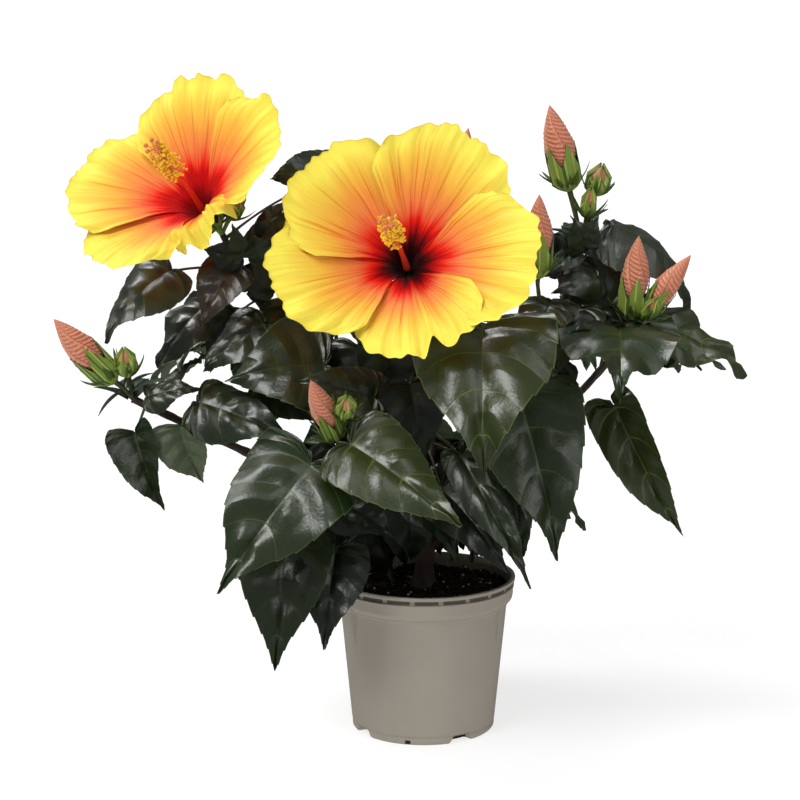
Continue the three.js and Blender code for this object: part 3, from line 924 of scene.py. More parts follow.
class LeafShape:
    """How one leaf is bent: drawn from its own dice, unless it is given."""

    def __init__(self, random, **given):
        self.fold = random.uniform(0.02, 0.34)
        self.droop = random.uniform(0.0, 0.5)
        self.wave = random.uniform(0.045, 0.10)
        self.waves = random.uniform(1.4, 2.6)
        self.phases = random.uniform(0, 2 * math.pi, 2)
        self.sway = random.uniform(-0.06, 0.06)
        self.twist = random.uniform(-0.35, 0.35)
        self.lobes = random.uniform(0.055, 0.1)
        self.curl = random.uniform(0.0, 0.12)
        self.bulge = random.uniform(0.015, 0.024)
        self.seed = int(random.integers(1 << 30))
        for name, value in given.items():
            setattr(self, name, value)


def add_leaf(batch, blade, shape, teeth=11, columns=FINE_COLUMNS, first_mark=0):
    """One leaf with raised veins beneath, pillows between them and a toothed edge, closed all round.

    Its four materials follow first_mark: upper side, veins, lower side and rim. The rim's paler colour is
    partly the margin's own and partly a painted highlight along the edge.
    """
    turns, veins, rise = leaf_rows(teeth)
    length, half_width = blade.length, blade.width / 2
    u = columns[None, :]
    t = turns[:, None] + 0 * u
    across, along = outline(t, shape.lobes)
    tooth = 0.026 * rise[:, None] * smoothstep(t, 0.1, 0.3) * (1 - 0.55 * t) * u**5
    start = FAN_REACH * np.minimum(t / FAN_END, 1)
    start = start + (1 - FAN_REACH) * np.clip((t - FAN_END) / (1 - FAN_END), 0, 1) ** 1.2
    edge_x = half_width * (across + tooth)
    edge_y = length * (along + 0.6 * tooth)
    x = edge_x * u
    y = mix(length * start, edge_y, u) - 0.035 * length * np.sin(math.pi * u) * (t < 0.98)
    # The two rows of a vein run side by side, and draw together towards the edge.
    step_x, step_y = np.gradient(x, axis=1), np.gradient(y, axis=1)
    size = np.hypot(step_x, step_y) + 1e-9
    vein_half = 0.0045 * length * (1 - 0.75 * u) * veins[:, None]
    x = x + step_y / size * vein_half * (u > 0)
    y = y - step_x / size * vein_half
    rib = 0.0065 * length * (1 - 0.85 * t)
    x = np.maximum(x, 0) + rib
    # Pillows between the veins, and crossing wrinkles on them.
    cycle = (LAST_TOOTH - FIRST_TOOTH) / teeth * 2
    phase = (t - FIRST_TOOTH - 0.95 * cycle) / cycle
    pillow = np.sin(math.pi * phase) ** 2 * np.sin(math.pi * np.clip(u * 1.02, 0, 1) ** 0.7)
    sides = []
    for side in (-1, 1):
        wrinkle = ripple(np.stack([side * x, y], -1), 0.16 * length, shape.seed, waves=5)
        crest = shape.wave * np.sin(2 * math.pi * shape.waves * t + shape.phases[(side + 1) // 2])
        z = shape.bulge * length * (1.75 * pillow + 0.34 * wrinkle * smoothstep(u, 0, 0.3))
        z = z + blade.width * crest * u**2.4
        z = z + np.sin(shape.fold) * x - shape.droop * x**2 / half_width
        z = z - shape.curl * length * np.clip(y / length, 0, 1) ** 3
        bent_x = side * x * np.cos(shape.fold) + shape.sway * length * (y / length) ** 2
        sides.append((bent_x, y, z))
    left, right = sides
    grid = [np.concatenate([a[:, ::-1], b], axis=1) for a, b in zip(left, right)]
    rows, width = grid[0].shape
    edge = np.concatenate([u[:, ::-1], u], axis=1) + 0 * grid[0]
    thick = 0.38 * MM * (1 - edge**6)
    on_vein = np.repeat((veins != 0)[:, None], width, axis=1) & (edge > 0)
    under = thick + np.where(on_vein, 0.3 * MM * (1 - edge), 0) + np.where(edge == 0, 0.55 * MM, 0)
    upper = blade.place(*grid, twist=shape.twist)
    lower = blade.place(grid[0], grid[1], grid[2] - under, twist=shape.twist)
    points = np.concatenate([upper.reshape(-1, 3), lower.reshape(-1, 3)])
    quads = grid_faces(rows, width)
    inner = np.arange(rows * width).reshape(rows, width)
    shared = inner + rows * width
    shared[:, 0], shared[:, -1] = inner[:, 0], inner[:, -1]
    shared[0], shared[-1] = inner[0], inner[-1]
    below = shared.ravel()[quads][:, [0, 3, 2, 1]]
    # Marks: the strip between a vein's two rows, the midrib, and the outermost strips, whose paler rim
    # colour is partly the margin's own and partly a painted highlight.
    strip = np.zeros((rows - 1, width - 1), dtype=int) + UPPER
    strip[:, 0], strip[:, -1] = RIM_AND_HIGHLIGHT, RIM_AND_HIGHLIGHT
    strip[(veins[:-1] == 1) & (veins[1:] == -1)] = VEIN
    strip[:, width // 2 - 1] = VEIN
    marks = np.concatenate([strip.ravel(), np.full(strip.size, LOWER)])
    faces = np.concatenate([quads, below])
    used, faces = np.unique(faces, return_inverse=True)
    batch.add(points[used], faces.reshape(-1, 4), mark=marks + first_mark)


def add_stalk(batch, foot, knee, arriving, random, thick=1.0):
    """A leaf stalk with a swollen foot, a slight bow, and a thicker joint where the blade starts."""
    lift = np.linalg.norm(knee - foot) * random.uniform(0.02, 0.10)
    path = bow(foot, knee + arriving * 1.2 * MM, UP * lift, 15)
    share = np.linspace(0, 1, 15)
    radii = np.interp(share, [0, 0.08, 0.2, 0.85, 0.93, 1.0], [1.7, 1.2, 0.95, 0.85, 1.25, 1.1])
    batch.add_tube(path, radii * thick * MM, 7)


def add_stipules(batch, foot, heading, random, mark):
    """A pair of thin bristles where a stalk leaves its bough."""
    side = any_side_of(heading)
    for sign in (-1, 1):
        out = unit(sign * side + 0.5 * heading + 0.4 * random.normal(size=3))
        tip = foot + out * random.uniform(3, 6) * MM
        batch.add_bow(foot, tip, UP * 0.6 * MM, 0.4, 0.06, 5, 4, mark)


def bough_near(point, only=None):
    """The closest point on any bough, or on the only one named, and the bough's heading there."""
    best = None
    for line in [boughs[only]] if only else boughs.values():
        shares = np.linspace(0.1, line.last, 60)
        places = line.at(shares)
        gaps = np.linalg.norm(places - point, axis=1)
        if best is None or gaps.min() < best[0]:
            i = int(np.argmin(gaps))
            ahead = places[min(i + 1, 59)] - places[max(i - 1, 0)]
            best = gaps[i], places[i], unit(ahead)
    return best


# Which leaves are not of the common dark green, and how some of them are folded or curled. The shaded_black
# tint is painted shade, for leaves that sit in the crown's shadow.
# The grey_sheen tint is partly the leaf's own duller green and partly a painted sheen.
TINTS = {
    "leaves_left_red": "bronze",
    "leaves_left_mid": "grey_sheen",
    "leaves_left_far": "grey_sheen",
    "leaves_left_under": "pale",
    "leaves_front_low_right": "olive",
    "leaves_centre_wide": "olive",
    "leaves_right_hanging": "olive",
    "leaves_right_far": "olive",
    "leaves_right_broad": "green",
    "leaves_right_behind": "grey_sheen",
    "leaves_right_arching": "grey_sheen",
    "leaves_front_hanging": "shaded_black",
    "leaves_front_shade": "shaded_black",
    "leaves_right_glossy": "shaded_black",
    "leaves_centre_shade": "shaded_black",
    "leaves_right_large": "green",
    "leaves_front_low_left": "green",
    "leaves_bloom_right_low": "grey_sheen",
}
BENDS = {
    "leaves_left_tip_hanging": dict(fold=0.75, wave=0.05, curl=0.05),
    "leaves_left_under": dict(fold=0.8, wave=0.03, curl=0.0),
    "leaves_front_low_left": dict(fold=0.30, wave=0.07, droop=0.3, curl=0.02, twist=0.0, sway=0.02),
    "leaves_front_low_right": dict(fold=0.26, wave=0.08, droop=0.35, curl=0.0, twist=0.0, sway=0.0),
    "leaves_centre_wide": dict(fold=0.34, wave=0.10, waves=2.4, droop=0.25, curl=0.04, twist=0.0),
    "leaves_right_large": dict(fold=0.28, droop=0.1, curl=0.0, twist=0.0, wave=0.06),
    "leaves_right_hanging": dict(fold=0.55, droop=0.0, twist=0.15),
    "leaves_right_broad": dict(fold=0.12, droop=0.2, wave=0.10, waves=2.8, twist=0.0),
    "leaves_right_far": dict(fold=0.2, wave=0.12, waves=3.2, twist=0.3),
    "leaves_centre_hanging": dict(fold=0.5, curl=0.0, twist=0.1),
    "leaves_right_arching": dict(fold=-0.3, droop=0.2),
    "leaves_left_mid": dict(wave=0.09, waves=3.0),
}
LEAF_COLORS = {
    # upper side, vein, lower side and rim; the rim is partly a painted highlight
    "dark": ((0.0085, 0.0170, 0.0032), (0.036, 0.058, 0.015), (0.060, 0.090, 0.038), (0.045, 0.070, 0.018)),
    "green": ((0.0130, 0.0265, 0.0045), (0.055, 0.088, 0.020), (0.075, 0.110, 0.045), (0.060, 0.095, 0.022)),
    "olive": ((0.0260, 0.0390, 0.0060), (0.100, 0.140, 0.035), (0.095, 0.130, 0.050), (0.105, 0.145, 0.038)),
    # grey_sheen: partly a duller green, partly a painted sheen
    "grey_sheen": ((0.0180, 0.0260, 0.0120), (0.055, 0.075, 0.036), (0.100, 0.125, 0.078), (0.060, 0.080, 0.038)),
    # shaded_black: dark green darkened further, painted shade for leaves deep in the crown
    "shaded_black": ((0.0035, 0.0070, 0.0018), (0.016, 0.028, 0.008), (0.036, 0.056, 0.024), (0.022, 0.036, 0.010)),
    "pale": ((0.080, 0.105, 0.055), (0.150, 0.180, 0.100), (0.130, 0.160, 0.095), (0.150, 0.180, 0.100)),
    "young": ((0.085, 0.150, 0.014), (0.230, 0.300, 0.080), (0.170, 0.240, 0.080), (0.220, 0.280, 0.070)),
    "bronze": ((0.022, 0.013, 0.008), (0.080, 0.060, 0.022), (0.060, 0.045, 0.028), (0.110, 0.090, 0.030)),
}
# Tints dealt out at random; shaded_black among them is painted shade.
COMMON_TINTS = ["dark", "dark", "green", "green", "shaded_black", "olive", "grey_sheen"]


def leaf_skin(name, color):
    """A glossy upper side with a fine net of small cells between the veins."""
    material = plain(name, color, (0.32, 0.44), 120, 0.0009, coat=0.18, specular=0.85)
    tree = material.node_tree
    cells = tree.nodes.new("ShaderNodeTexVoronoi")
    cells.feature = "DISTANCE_TO_EDGE"
    cells.inputs["Scale"].default_value = 300
    coordinates = tree.nodes.new("ShaderNodeTexCoord")
    link(tree, coordinates.outputs["Object"], cells.inputs["Vector"])
    cracks = to_range(tree, cells.outputs["Distance"], 0, 0.6, 0, 0.3)
    height = calculate(tree, "ADD", cracks, noise(tree, 130))
    bump(tree, tree.nodes["Principled BSDF"], height, 0.0005, 0.2)
    return material


def leaf_materials():
    materials = []
    for tint, (upper, vein, lower, rim) in LEAF_COLORS.items():
        materials += [
            leaf_skin(f"leaf_{tint}", upper),
            plain(f"leaf_{tint}_vein", vein, (0.35, 0.5), 600, 0.0003, specular=0.4),
            plain(f"leaf_{tint}_lower", lower, (0.5, 0.7), 500, 0.0005, specular=0.3),
            plain(f"leaf_{tint}_rim", rim, (0.35, 0.5), 600, 0.0003, specular=0.4),
        ]
    return materials


def tint_mark(tint):
    return 4 * list(LEAF_COLORS).index(tint)


REGIONS = {
    "left": ("leaves_left", "leaves_under_left", "leaves_between"),
    "front": ("leaves_front",),
    "centre": ("leaves_centre",),
    "right": ("leaves_right", "leaves_bloom_right"),
    "back": ("leaves_back",),
}


# Masses whose leaf is moved a little: by how many mm, turned about its normal and tilted about its
# chord by how many degrees, and how much longer and wider than the mass it is.
MOVED = {
    "leaves_right_hanging": ((9, 0, 0), -4, 0, 1.03, 1.15),
    "leaves_right_arching": ((-7, 0, 2), 0, 30, 1.2, 1.3),
    "leaves_left_far": ((-9, 0, 7), 0, 0, 1.08, 1.15),
    "leaves_left_tip_hanging": ((2, 0, -5), 0, 0, 1.0, 1.1),
    "leaves_front_low_left_under": ((-7, 0, -5), 5, 0, 1.06, 1.0),
    "leaves_centre_hanging": ((0, 0, -2), 0, 0, 1.1, 1.0),
    "leaves_centre_shade": ((2, 0, -2), 0, 0, 1.12, 1.05),
    "leaves_left_inner": ((2, 0, -4), 0, 0, 1.1, 1.2),
    "leaves_back_low_right": ((-24, 0, 6), 0, 0, 0.85, 0.9),
    "leaves_back_low_left": ((26, 0, 6), 0, 0, 0.85, 0.9),
}
STALK_FROM = {"leaves_between_blooms": "bough_centre"}

# Leaves in the shade between two masses: where each one's knee is (a share of the way from the first
# to the second), how many mm behind them, which way it points, its length in mm and its tint.
# Most of them take the shaded_black tint: painted shade in the crown's dark hollows.
SHADE_LEAVES = [
    ("leaves_left_inner", "leaves_centre_wide", [
        (0.22, 16, (-0.2, 0.1, -1.0), 58, "shaded_black"),
        (0.42, 20, (0.15, 0.1, -1.0), 62, "dark"),
        (0.66, 24, (0.0, 0.1, -1.0), 60, "shaded_black"),
    ]),
    ("leaves_left_inward", "leaves_left_inner", [
        (0.5, 8, (0.8, 0.1, -0.6), 52, "dark"),
        (0.85, 14, (-0.5, 0.1, -0.8), 50, "shaded_black"),
    ]),
    ("leaves_front_shade", "leaves_centre_shade", [
        (0.15, 42, (-0.25, 0.1, -1.0), 62, "shaded_black"),
        (0.55, 46, (0.1, 0.1, -1.0), 64, "shaded_black"),
        (0.95, 40, (-0.1, 0.1, -1.0), 62, "dark"),
    ]),
    ("leaves_front_hanging", "leaves_centre_shade", [
        (0.3, 66, (0.2, 0.1, -0.9), 60, "shaded_black"),
        (0.62, 70, (-0.2, 0.1, -0.9), 60, "shaded_black"),
        (0.9, 62, (0.1, 0.1, -1.0), 62, "dark"),
    ]),
    ("leaves_centre_shade", "leaves_right_drooping", [
        (0.55, 36, (0.15, 0.1, -1.0), 72, "shaded_black"),
        (1.05, 30, (0.1, 0.1, -1.0), 76, "dark"),
    ]),
    ("leaves_front_low_right", "leaves_centre_wide", [
        (0.45, 26, (0.2, 0.1, -1.0), 56, "shaded_black"),
    ]),
    ("leaves_front_low_left", "leaves_front_low_right", [
        (0.6, 20, (0.1, 0.1, -1.0), 52, "shaded_black"),
    ]),
    ("leaves_right_large", "leaves_right_glossy", [
        (0.4, 18, (-0.3, 0.1, -0.9), 50, "shaded_black"),
    ]),
    ("leaves_right_behind", "leaves_right_glossy", [
        (0.5, 12, (-0.9, 0.1, 0.1), 44, "dark"),
    ]),
    ("bud_beside_bloom", "buds_top_right", [
        (0.45, 14, (-0.75, 0.1, 0.5), 30, "grey_sheen"),
        (0.6, 8, (-0.6, 0.0, 0.2), 36, "shaded_black"),
        (0.85, 4, (-0.4, -0.3, -0.5), 24, "dark"),
        (1.1, 2, (0.5, -0.4, -0.4), 22, "grey_sheen"),
    ]),
    ("bud_beside_bloom", "buds_right", [
        (0.45, 4, (-0.3, -0.2, -0.9), 46, "dark"),
    ]),
    ("buds_top_right", "buds_right", [
        (0.35, 3, (-0.7, -0.2, -0.3), 34, "dark"),
        (0.7, 6, (0.3, -0.2, -0.8), 34, "shaded_black"),
    ]),
    ("leaves_left_red", "leaves_left_inner_high", [
        (0.45, 4, (0.5, 0.0, 0.6), 34, "shaded_black"),
        (0.8, 10, (0.3, 0.0, -0.8), 44, "dark"),
    ]),
    ("leaves_left_red", "leaves_between_blooms", [
        (0.3, 8, (0.5, 0.2, 0.5), 32, "shaded_black"),
    ]),
    ("leaves_left_mid", "leaves_left_inner_high", [
        (0.5, 8, (-0.3, 0.0, -0.9), 44, "shaded_black"),
    ]),
    ("leaves_front_shade", "leaves_centre_shade", [
        (0.7, 20, (0.1, 0.0, -1.0), 58, "shaded_black"),
        (1.0, 22, (0.3, 0.0, -1.0), 60, "shaded_black"),
        (1.35, 28, (0.1, 0.0, -1.0), 62, "dark"),
    ]),
    ("leaves_front_shade", "leaves_back_low_right", [
        (0.45, 22, (-0.1, 0.0, -1.0), 62, "shaded_black"),
        (0.62, 6, (0.05, 0.0, -1.0), 64, "shaded_black"),
        (0.8, -12, (0.1, 0.0, -1.0), 64, "dark"),
    ]),
    ("leaves_left_red", "leaves_between_blooms", [
        (0.1, -8, (-0.9, -0.3, 0.3), 28, "shaded_black"),
        (0.12, -10, (-0.3, -0.4, 0.85), 24, "dark"),
        (0.16, -8, (0.85, -0.2, 0.2), 24, "dark"),
        (0.22, -4, (0.5, -0.2, 0.7), 26, "shaded_black"),
    ]),
    ("bud_beside_bloom", "buds_top_right", [
        (1.0, -7, (-0.35, -0.4, 0.85), 25, "dark"),
        (1.05, -9, (0.3, -0.4, 0.8), 23, "grey_sheen"),
        (1.0, -5, (-0.9, -0.3, 0.3), 22, "shaded_black"),
    ]),
    ("leaves_back_low_left", "leaves_back_low_right", [
        (0.26, -14, (0.1, -0.05, -1.0), 74, "shaded_black"),
        (0.4, -20, (-0.1, -0.05, -1.0), 78, "dark"),
        (0.52, -14, (0.05, -0.05, -1.0), 76, "shaded_black"),
        (0.64, -20, (0.1, -0.05, -1.0), 78, "shaded_black"),
        (0.76, -14, (-0.05, -0.05, -1.0), 74, "dark"),
        (0.9, -16, (0.0, -0.05, -1.0), 70, "shaded_black"),
    ]),
]


def knee_of(node):
    """Where a mass of leaves starts, or where a group of buds does."""
    if node.startswith("leaves_"):
        return Mass(node).knee
    if node.startswith("bud_"):
        return head_on_stalk(node)[1].foot
    return heads_on_bough_end(node)[0].foot


def inside_box(blade):
    """Whether a leaf's tip and sides keep within the solids' box and a small margin."""
    length, half = blade.length, blade.width / 2
    x = np.array([0, half, -half, 0])
    y = np.array([length, 0.3 * length, 0.3 * length, 0.6 * length])
    points = blade.place(x, y, 0 * x)
    return (points > np.array(cad_box[0]) - 5 * MM).all() and (points < np.array(cad_box[1]) + 5 * MM).all()


def fitting_blade(knee, chord, normal, length, width, arch):
    """A blade, made smaller until it keeps inside the box."""
    for _ in range(12):
        blade = Blade(knee, chord, normal, length, width, arch)
        if inside_box(blade):
            break
        length, width = 0.9 * length, 0.9 * width
    return blade


def add_small_leaf(batch, stalks, blade, teeth, tint, thick, random, foot=None):
    """A leaf of fewer faces, with its stalk from a foot, or else from the nearest bough."""
    add_leaf(batch, blade, LeafShape(random), teeth, PLAIN_COLUMNS, tint_mark(tint))
    if foot is None:
        _, foot, _ = bough_near(blade.knee)
    add_stalk(stalks, foot, blade.knee, blade.chord, random, thick)


def add_shade_leaves(batch, stalks, random):
    for start, end, leaves in SHADE_LEAVES:
        for share, behind, heading, length, tint in leaves:
            knee = mix(knee_of(start), knee_of(end), share) + np.array([0, behind * MM, 0])
            chord = unit(np.array(heading) + 0.08 * random.normal(size=3))
            normal = unit(np.array([0.0, -1.0, 0.45]) + 0.25 * random.normal(size=3))
            width = length * random.uniform(0.72, 0.86)
            blade = fitting_blade(knee, chord, normal, length * MM, width * MM, random.uniform(0.3, 0.8))
            add_small_leaf(batch, stalks, blade, 9, tint, 0.9, random)


CROWN_RADIUS = 118 * MM
FILLING_STEP = 26 * MM


def add_filling(batch, stalks, mass, random):
    """Smaller leaves behind a mass's own leaf, where the crown is deep."""
    middle = (mass.knee + mass.tip) / 2
    depth = CROWN_RADIUS - np.hypot(middle[0], middle[1])
    inward = unit(np.array([-middle[0], -middle[1], 0]))
    for _ in range(int(np.clip(depth / FILLING_STEP, 0, 3))):
        chord = turned(mass.chord, mass.normal, random.uniform(-0.75, 0.75))
        length = mass.length * random.uniform(0.5, 0.75)
        knee = mass.knee - mass.normal * random.uniform(10, 26) * MM
        knee = knee + mass.across * random.uniform(-0.3, 0.3) * mass.width
        knee = knee + inward * random.uniform(4, 16) * MM
        normal = unit(mass.normal + 0.35 * random.normal(size=3))
        blade = fitting_blade(knee, chord, normal, length, length * random.uniform(0.62, 0.8), 0.5)
        # Leaves this deep in the crown mostly take shaded_black: painted shade.
        tint = random.choice(["dark", "shaded_black", "shaded_black", "green"])
        add_small_leaf(batch, stalks, blade, 7, tint, 0.85, random)


def moved(mass, node):
    """A mass with its leaf's small change of place, turn and size applied."""
    shift, turn, tilt, longer, wider = MOVED.get(node, ((0, 0, 0), 0, 0, 1, 1))
    mass.knee = mass.knee + np.array(shift) * MM
    mass.chord = turned(mass.chord, mass.normal, math.radians(turn))
    mass.normal = turned(mass.normal, mass.chord, math.radians(tilt))
    mass.across = np.cross(mass.chord, mass.normal)
    mass.length, mass.width = mass.length * longer, mass.width * wider
    mass.tip = mass.knee + mass.chord * mass.length
    return mass


def blade_of(mass):
    return Blade(mass.knee, mass.chord, mass.normal, mass.length, mass.width, mass.arch)


TWIG_DROP = 2 * MM
TWIG_LEAVES = [0.04, 0.2, 0.34, 0.47, 0.6, 0.72]


def add_spray(batch, stalks, mass, random):
    """A twig along a mass's spine that carries leaves to either side, as at the back of the crown."""
    spine = blade_of(mass)
    on_spine = lambda x, y, z: spine.place(np.array(x), np.array(y), np.array(z))
    shares = np.linspace(-0.02, 0.8, 16)
    zero = np.zeros_like(shares)
    path = on_spine(zero, shares * mass.length, zero - TWIG_DROP)
    path = np.concatenate([bow(mass.foot, path[0], UP * TWIG_DROP, 8)[:-1], path])
    stalks.add_tube(path, np.linspace(1.7, 0.8, len(path)) * MM, 7, mark=1)
    for i, share in enumerate(TWIG_LEAVES):
        side = 1 if i % 2 else -1
        foot = on_spine(0.0, share * mass.length, -TWIG_DROP)
        reach = mass.width * random.uniform(0.10, 0.2)
        along = (share + random.uniform(0.02, 0.1)) * mass.length
        knee = on_spine(side * reach, along, random.uniform(2, 9) * MM)
        chord = turned(mass.chord, mass.normal, -side * random.uniform(0.5, 1.05))
        chord = unit(chord - 0.35 * UP + 0.12 * random.normal(size=3))
        normal = unit(mass.normal + 0.3 * UP + 0.2 * random.normal(size=3))
        length = mass.length * random.uniform(0.56, 0.72)
        width = length * random.uniform(0.66, 0.82)
        blade = fitting_blade(knee, chord, normal, length, width, random.uniform(0.4, 0.9))
        add_small_leaf(batch, stalks, blade, 9, random.choice(COMMON_TINTS), 0.9, random, foot)
        add_stipules(stalks, foot, mass.chord, random, 1)
    knee = mix(on_spine(0.0, 0.42 * mass.length, 3 * MM), path[-1], 0.9)
    chord = unit(mass.tip - knee)
    length = max(np.linalg.norm(mass.tip - knee), 0.5 * mass.length)
    blade = fitting_blade(knee, chord, mass.normal, length, 0.55 * mass.length, 0.5)
    add_leaf(batch, blade, LeafShape(random), 10, FINE_COLUMNS, tint_mark(random.choice(COMMON_TINTS)))


def build_leaves():
    stalks = Batch()
    for region, prefixes in REGIONS.items():
        batch = Batch()
        nodes = [name for prefix in prefixes for name in nodes_named(prefix)]
        for node in nodes:
            random = dice(node)
            mass = moved(Mass(node), node)
            if region == "back":
                add_spray(batch, stalks, mass, random)
                continue
            shape = LeafShape(random, **BENDS.get(node, {}))
            tint = TINTS.get(node, "dark")
            add_leaf(batch, blade_of(mass), shape, 11, FINE_COLUMNS, tint_mark(tint))
            _, foot, heading = bough_near(mass.foot, STALK_FROM.get(node))
            add_stalk(stalks, foot, mass.knee, mass.chord, random)
            add_stipules(stalks, foot, heading, random, 1)
            add_filling(batch, stalks, mass, random)
        batch.piece(f"leaves_{region}", "leaf", leaf_materials(), nodes)
    shade = Batch()
    add_shade_leaves(shade, stalks, dice("shade_leaves"))
    shade.piece("leaves_shade", "leaf", leaf_materials(), [])
    materials = [
        plain("stalk_green", (0.060, 0.055, 0.022), (0.4, 0.55), 500, 0.0003),
        plain("stalk_brown", (0.045, 0.026, 0.018), (0.5, 0.65), 500, 0.0003),
    ]
    stalks.piece("leaf_stalks", "leaf", materials, [])


# ---------------------------------------------------------------- open blooms


class Petal:
    """One petal of a bloom. Angles are in degrees, counterclockwise as seen from in front of it.

    middle is where it points, half its spread to either side, reach its length as a share of the
    bloom's radius, skew how much longer its clockwise side is, lift how far its rim stands forward,
    roll how far its edges turn back, ruffle the height of its waves, and notch the depth of a cut in it.
    """

    def __init__(
        self, middle, reach=1.0, half=50, skew=0.0, lift=0.0, roll=0.0, ruffle=1.0, curl=(0, 0), notch=0.0
    ):
        self.middle, self.reach, self.half, self.skew = middle, reach, half, skew
        self.lift, self.roll, self.ruffle, self.curl = lift, roll, ruffle, curl
        self.notch = notch


FRONT_PETALS = [
    Petal(351, reach=1.04, half=48, lift=2),
    Petal(63, reach=1.03, half=49, lift=1),
    Petal(138, reach=1.02, half=49),
    Petal(200, reach=1.04, half=48),
    Petal(283, reach=0.96, half=50, skew=0.06, lift=2, curl=(0.3, 0), notch=0.17),
]
LEFT_PETALS = [
    Petal(34, reach=1.05, half=47, lift=4),
    Petal(106, reach=1.08, half=48, skew=0.10, lift=5),
    Petal(182, reach=0.98, half=50, skew=-0.13, lift=1),
    Petal(248, reach=0.99, half=46, lift=1, curl=(0.0, 0.5)),
    Petal(316, reach=0.66, half=44, lift=15, roll=1.2, curl=(0.2, 0.3), ruffle=2.2),
]
PETAL_ROWS, PETAL_COLUMNS = 58, 104
PETAL_CELLS = 5
PETAL_SEED = 40
PETAL_MAP_STEP = 3.7


def petal_grid(bloom, across, up, petal, seed):
    """A petal's middle surface, with how far out and how far across it each point is."""
    random = np.random.default_rng(seed)
    v = np.linspace(0, 1, PETAL_ROWS)[:, None] ** 0.9
    a = np.linspace(-1, 1, PETAL_COLUMNS)[None, :]
    tube_radius, tube_foot = 3.0 * MM, bloom.throat - 15 * MM
    notches = 0.018 * np.sin(9 * a + random.uniform(0, 6)) + 0.012 * np.sin(21 * a + random.uniform(0, 6))
    notches = notches + 0.008 * np.sin(43 * a + 3 * np.sin(5 * a) + random.uniform(0, 6))
    notches = notches - petal.notch * np.exp(-(((a - 0.12) / 0.09) ** 2))
    rounding = 1 - 0.20 * np.abs(a) ** 3.2 - 0.05 * np.abs(a)
    reach = bloom.radius * 0.97 * (petal.reach - 0.5 * petal.skew * (a + 1)) * rounding * (1 + notches)
    radius = tube_radius + (reach - tube_radius) * v
    spread = np.interp(v, [0, 0.15, 0.5, 0.85, 1], [36.5, 40, petal.half, petal.half + 1, petal.half - 4])
    angle = np.radians(petal.middle + a * spread)
    throat_radius = 10 * MM
    inside = np.clip((radius - tube_radius) / (throat_radius - tube_radius), 0, 1)
    share = np.clip((radius - throat_radius) / (bloom.radius - throat_radius), 0, 1.2)
    height = mix(tube_foot, bloom.throat, inside**0.8) + (bloom.rim - bloom.throat) * share**0.72
    # Each petal lies over the next one counterclockwise from it.
    height = height + 2.6 * MM * a * smoothstep(v, 0.05, 0.5)
    height = height + petal.lift * MM * share**1.5
    # Pleats that fan out from the throat, and ruffles that grow towards the rim.
    pleats = 0.30 * np.sin(31 * a + 2.2 * np.sin(3 * a + seed)) * smoothstep(v, 0.1, 0.4)
    pleats = pleats + 0.22 * np.sin(53 * a + 2.0 * np.sin(7 * a)) * smoothstep(v, 0.3, 0.8)
    folds = 1.6 * np.sin(7.0 * angle + 2.0 * np.sin(2 * angle + seed)) * v**2.2
    frill = 2.1 * np.sin(19 * angle + 2.5 * np.sin(5 * angle + seed)) * v**5
    height = height + petal.ruffle * MM * (pleats + folds + frill)
    # The outer margin rolls back, and so does either side where it is curled.
    height = height - (3.0 + 9.0 * petal.roll) * MM * smoothstep(v, 0.7, 1.0) ** 2
    for sign, amount in zip((-1, 1), petal.curl):
        side = smoothstep(sign * a, 0.35, 1.0) * smoothstep(v, 0.35, 0.9)
        height = height - 16 * MM * amount * side
        radius = radius * (1 - 0.16 * amount * side)
    point = bloom.foot + height[..., None] * bloom.axis + ring_offset(radius, angle, across, up)
    return point, v + 0 * a, a + 0 * v


def add_petal(batch, bloom, across, up, petal, index, seed):
    """Both sides of a petal, closed round its edge. Its two maps are its own place and a packed one, with
    each side of each petal in a cell of its own.
    """
    middle, out, over = petal_grid(bloom, across, up, petal, seed)
    normal = unit(np.cross(np.gradient(middle, axis=1), np.gradient(middle, axis=0)))
    if np.mean(normal @ bloom.axis) < 0:
        normal = -normal
    thick = mix(0.55, 0.14, out)[..., None] * MM
    front = middle + 0.5 * thick * normal
    back = middle - 0.5 * thick * normal
    points = np.concatenate([front.reshape(-1, 3), back.reshape(-1, 3)])
    quads = grid_faces(PETAL_ROWS, PETAL_COLUMNS)
    count = PETAL_ROWS * PETAL_COLUMNS
    own = np.stack([over / 2 + 0.5, out], -1).reshape(-1, 2)
    inset = own * np.array([0.94, 0.96]) + np.array([0.03, 0.02])
    baked = [(inset + np.array([index, side])) / np.array([PETAL_CELLS, 2]) for side in (0, 1)]
    own = np.concatenate([own, own]) + np.array([index * PETAL_MAP_STEP, 0])
    places = np.column_stack([own, np.concatenate(baked)])
    rim = edge_loop(PETAL_ROWS, PETAL_COLUMNS)
    after = np.roll(rim, -1)
    band = np.stack([rim, rim + count, after + count, after], -1)
    batch.add(points, quads[:, [0, 3, 2, 1]], quads + count, band, places=places)


def edge_loop(rows, columns):
    """The points round the edge of a grid, in order."""
    grid = np.arange(rows * columns).reshape(rows, columns)
    return np.concatenate([grid[0, :-1], grid[:-1, -1], grid[-1, :0:-1], grid[:0:-1, 0]])


